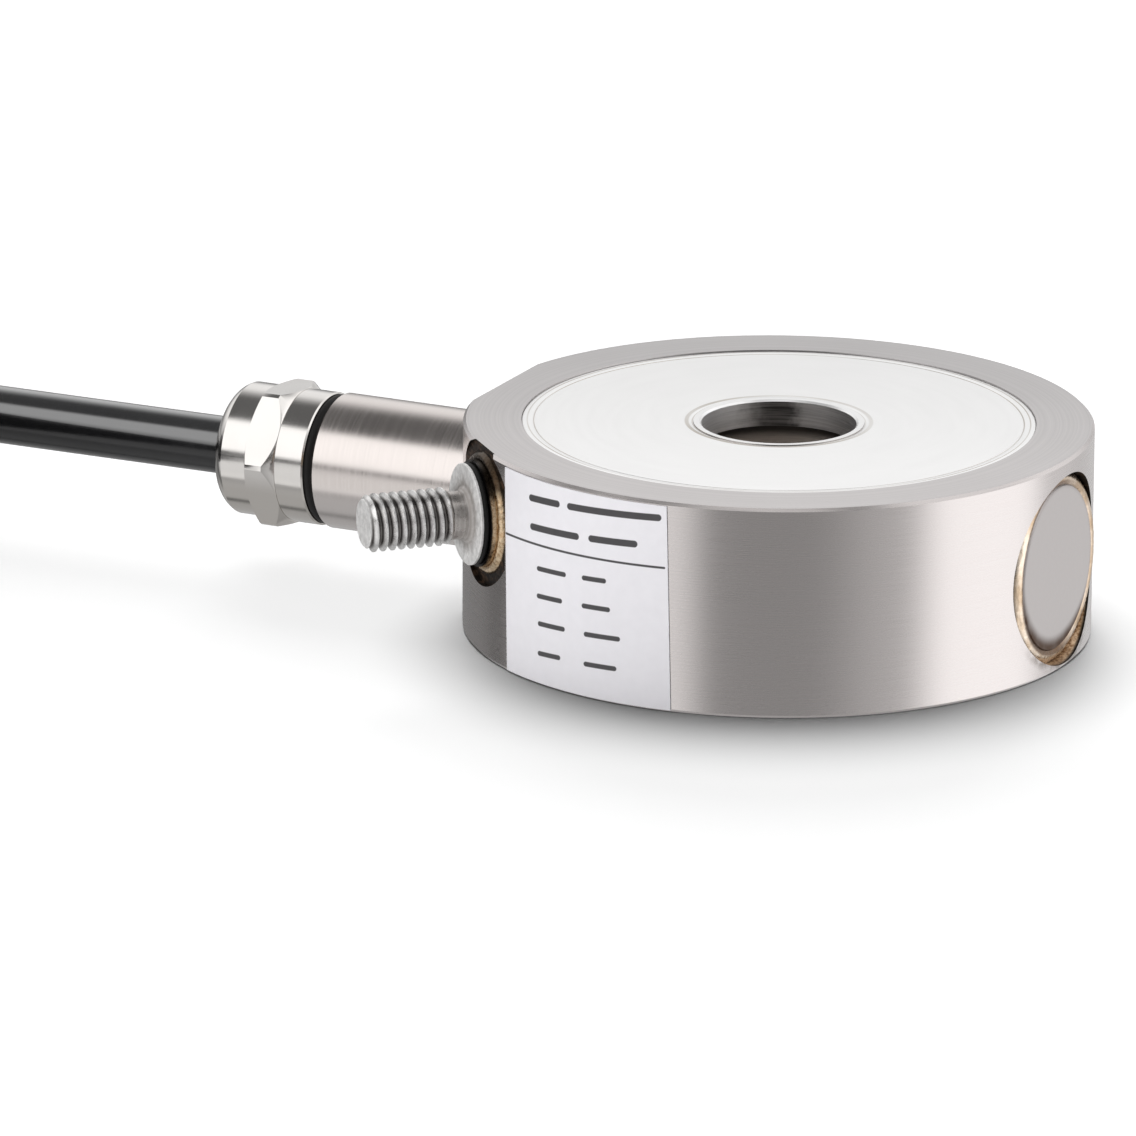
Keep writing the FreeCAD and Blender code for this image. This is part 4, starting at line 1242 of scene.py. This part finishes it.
strap_plastic, place = new_finish("strap_plastic")
teeth = place.math("SINE", axes(place)[2] * (math.tau / (STRAP_TOOTH * MM)))
lay_finish(strap_plastic, place, {
    "Base Color": tint(noise(place, 300.0), rgb(0.014, 0.014, 0.015), rgb(0.03, 0.03, 0.032)),
    "Roughness": vary(noise(place, 900.0), 0.34, 0.5),
    "Normal": bump(teeth, 0.03),
})
finish_nodes(strap_plastic, "coil_ties")
CORES = [
    ("core_end_pink", rgb(0.78, 0.27, 0.36)),
    ("core_end_grey", rgb(0.28, 0.28, 0.29)),
    ("core_end_brown", rgb(0.16, 0.065, 0.028)),
    ("core_end_white", rgb(0.76, 0.75, 0.73)),
    ("shield_tail", rgb(0.02, 0.02, 0.02)),
]
for node, colour in CORES:
    core_colours = (rgb(*[CORE_SHADE * part for part in colour[:3]]), colour)
    insulation = speckled(node + "_insulation", 500.0, 3.0, core_colours, (0.34, 0.48), 0.008)
    finish_nodes(insulation, node)
sleeve_colours = (rgb(0.55, 0.55, 0.56), rgb(0.70, 0.70, 0.71))
tinned_sleeve = speckled("tinned_sleeve", 900.0, 3.0, sleeve_colours, (0.25, 0.4), 0.02, {"Metallic": 1.0})
finish_nodes(tinned_sleeve, "core_ferrules")
on_cable = ["coil_ties", "core_ferrules"] + [node for node, colour in CORES]
[part * MM for part in CABLE_EXIT]


# Stage: a plain white floor, two broad lamps from behind and a low one from the front left, and a studio of
# pale and dark walls for the steel to mirror. The camera stands where the photograph was taken from.
FLOOR_SIZE = 1.6
DIM_LIGHT = 0.14
SPREAD_LOSS = 0.88
bpy.ops.object.select_all(action="DESELECT")
bpy.ops.mesh.primitive_plane_add(size=FLOOR_SIZE)
floor = bpy.context.object
floor.name = "floor"
floor.visible_glossy = False
floor_white, place = new_finish("floor_white")
seen = place.node("ShaderNodeLightPath", out="Is Camera Ray")
lay_finish(floor_white, place, {
    "Base Color": tint(seen, rgb(0.97, 0.97, 0.97), rgb(1.25, 1.25, 1.25)),
    "Roughness": 0.9,
    "Specular IOR Level": 0.0,
})
floor.data.materials.append(floor_white)

world = bpy.data.worlds.new("studio")
bpy.context.scene.world = world
world.use_nodes = True
ray = Link(world.node_tree).node("ShaderNodeTexCoord", out="Generated")
x, y, z = axes(ray)
rise = x.math("ARCSINE", z, 0.0) * math.degrees(1)


def wall(left, right, low, high, soft, rise_soft):
    """How much of a soft-edged pale wall a ray meets, between two bearings and two heights in degrees."""
    turn = math.radians((left + right) / 2)
    ahead = x * math.cos(turn) + y * math.sin(turn)
    aside = y * math.cos(turn) - x * math.sin(turn)
    off = x.math("ABSOLUTE", x.math("ARCTAN2", aside, ahead)) * math.degrees(1)
    foot = ease(rise, low - rise_soft, low + rise_soft)
    head = ease(rise, high - rise_soft, high + rise_soft, 1.0, 0.0)
    half = (right - left) / 2
    return foot * head * ease(off, half - soft, half + soft, 1.0, 0.0)


light = (
    DIM_LIGHT
    + 1.10 * wall(-10, 47, -45, 68, 11, 6)
    + 0.35 * wall(-35, 60, -75, 40, 20, 8)
    + 1.35 * wall(-155, -98, 6, 53, 7, 4)
    + 0.75 * wall(-175, -98, -36, -1, 9, 2.5)
    + 0.50 * wall(-175, -98, -95, -36, 9, 14)
    + 0.25 * wall(-110, -92, -32, 0, 5, 4)
    + 0.90 * wall(-128, -20, 58, 120, 8, 5)
    + 0.60 * wall(53, 108, -36, 4, 8, 6)
    + 0.12 * wall(106, 165, -32, 0, 8, 6)
    + 0.95 * wall(50, 185, 8, 46, 12, 13)
    + 0.42 * wall(60, 170, -95, -28, 12, 8)
    + 0.26 * wall(-105, -15, -95, 0, 20, 3)
)
spread_light = x.math("MINIMUM", ray.node("ShaderNodeLightPath", out="Diffuse Depth"), 1.0)
light = light * (1 - SPREAD_LOSS * spread_light)
light.plug(world.node_tree.nodes["Background"], {"Color": rgb(1, 1, 1), "Strength": light})

# The two lamps behind light the floor and the object. The body alone shades the second of them, which keeps
# the shadow of the tube and the cable faint. The low lamp in front lights the object and not the floor.
shading_body = bpy.data.collections.new("shading_body")
for piece in (ring, top_sheet, bottom_sheet, side_cover, sticker):
    shading_body.objects.link(piece)
off_floor = bpy.data.collections.new("off_floor")
off_floor.objects.link(floor)
off_floor.collection_objects[0].light_linking.link_state = "EXCLUDE"
LAMPS = [
    ("back_lamp", 115.7, 24.0, 34.0, 1.15, None, None),
    ("fill_lamp", 115.7, 70.0, 48.0, 2.1, shading_body, None),
    ("front_lamp", -112.0, 5.0, 30.0, 2.45, None, off_floor),
]
for name, bearing, height, spread, strength, blockers, receivers in LAMPS:
    tilt = math.radians(90 - height)
    bpy.ops.object.light_add(type="SUN", rotation=(0, tilt, math.radians(bearing)))
    lamp = bpy.context.object
    lamp.name = name
    lamp.data.angle = math.radians(spread)
    lamp.data.energy = strength
    lamp.visible_glossy = False
    lamp.light_linking.blocker_collection = blockers
    lamp.light_linking.receiver_collection = receivers

CAMERA_BEARING = 25.7
CAMERA_RISE = 16.8
CAMERA_ROLL = 0.35
CAMERA_DISTANCE = 1200.0
PIXELS = 1136
FOCAL_PIXELS = 11661.6
TOP_CENTRE_PIXEL = (778.9, 419.7)
SENSOR = 36.0
CLIP_START = 0.01
turn = math.radians(CAMERA_BEARING)
dip = math.radians(CAMERA_RISE)
roll = math.radians(CAMERA_ROLL)
level = Vector((math.cos(turn), math.sin(turn), 0))
ahead = Vector((-math.sin(turn) * math.cos(dip), math.cos(turn) * math.cos(dip), -math.sin(dip)))
upright = level.cross(ahead)
right = math.cos(roll) * level + math.sin(roll) * upright
above = math.cos(roll) * upright - math.sin(roll) * level
off_right = (TOP_CENTRE_PIXEL[0] - PIXELS / 2) / FOCAL_PIXELS
off_below = (TOP_CENTRE_PIXEL[1] - PIXELS / 2) / FOCAL_PIXELS
sight = ahead + off_right * right - off_below * above
bpy.ops.object.camera_add(location=(Vector((0, 0, RING_HEIGHT)) - CAMERA_DISTANCE * sight) * MM)
camera = bpy.context.object
camera.rotation_euler = Matrix((right, above, -ahead)).transposed().to_euler()
camera.data.sensor_width = SENSOR
camera.data.lens = FOCAL_PIXELS / PIXELS * SENSOR
camera.data.clip_start = CLIP_START
bpy.context.scene.camera = camera
bpy.context.scene.view_settings.view_transform = "Standard"
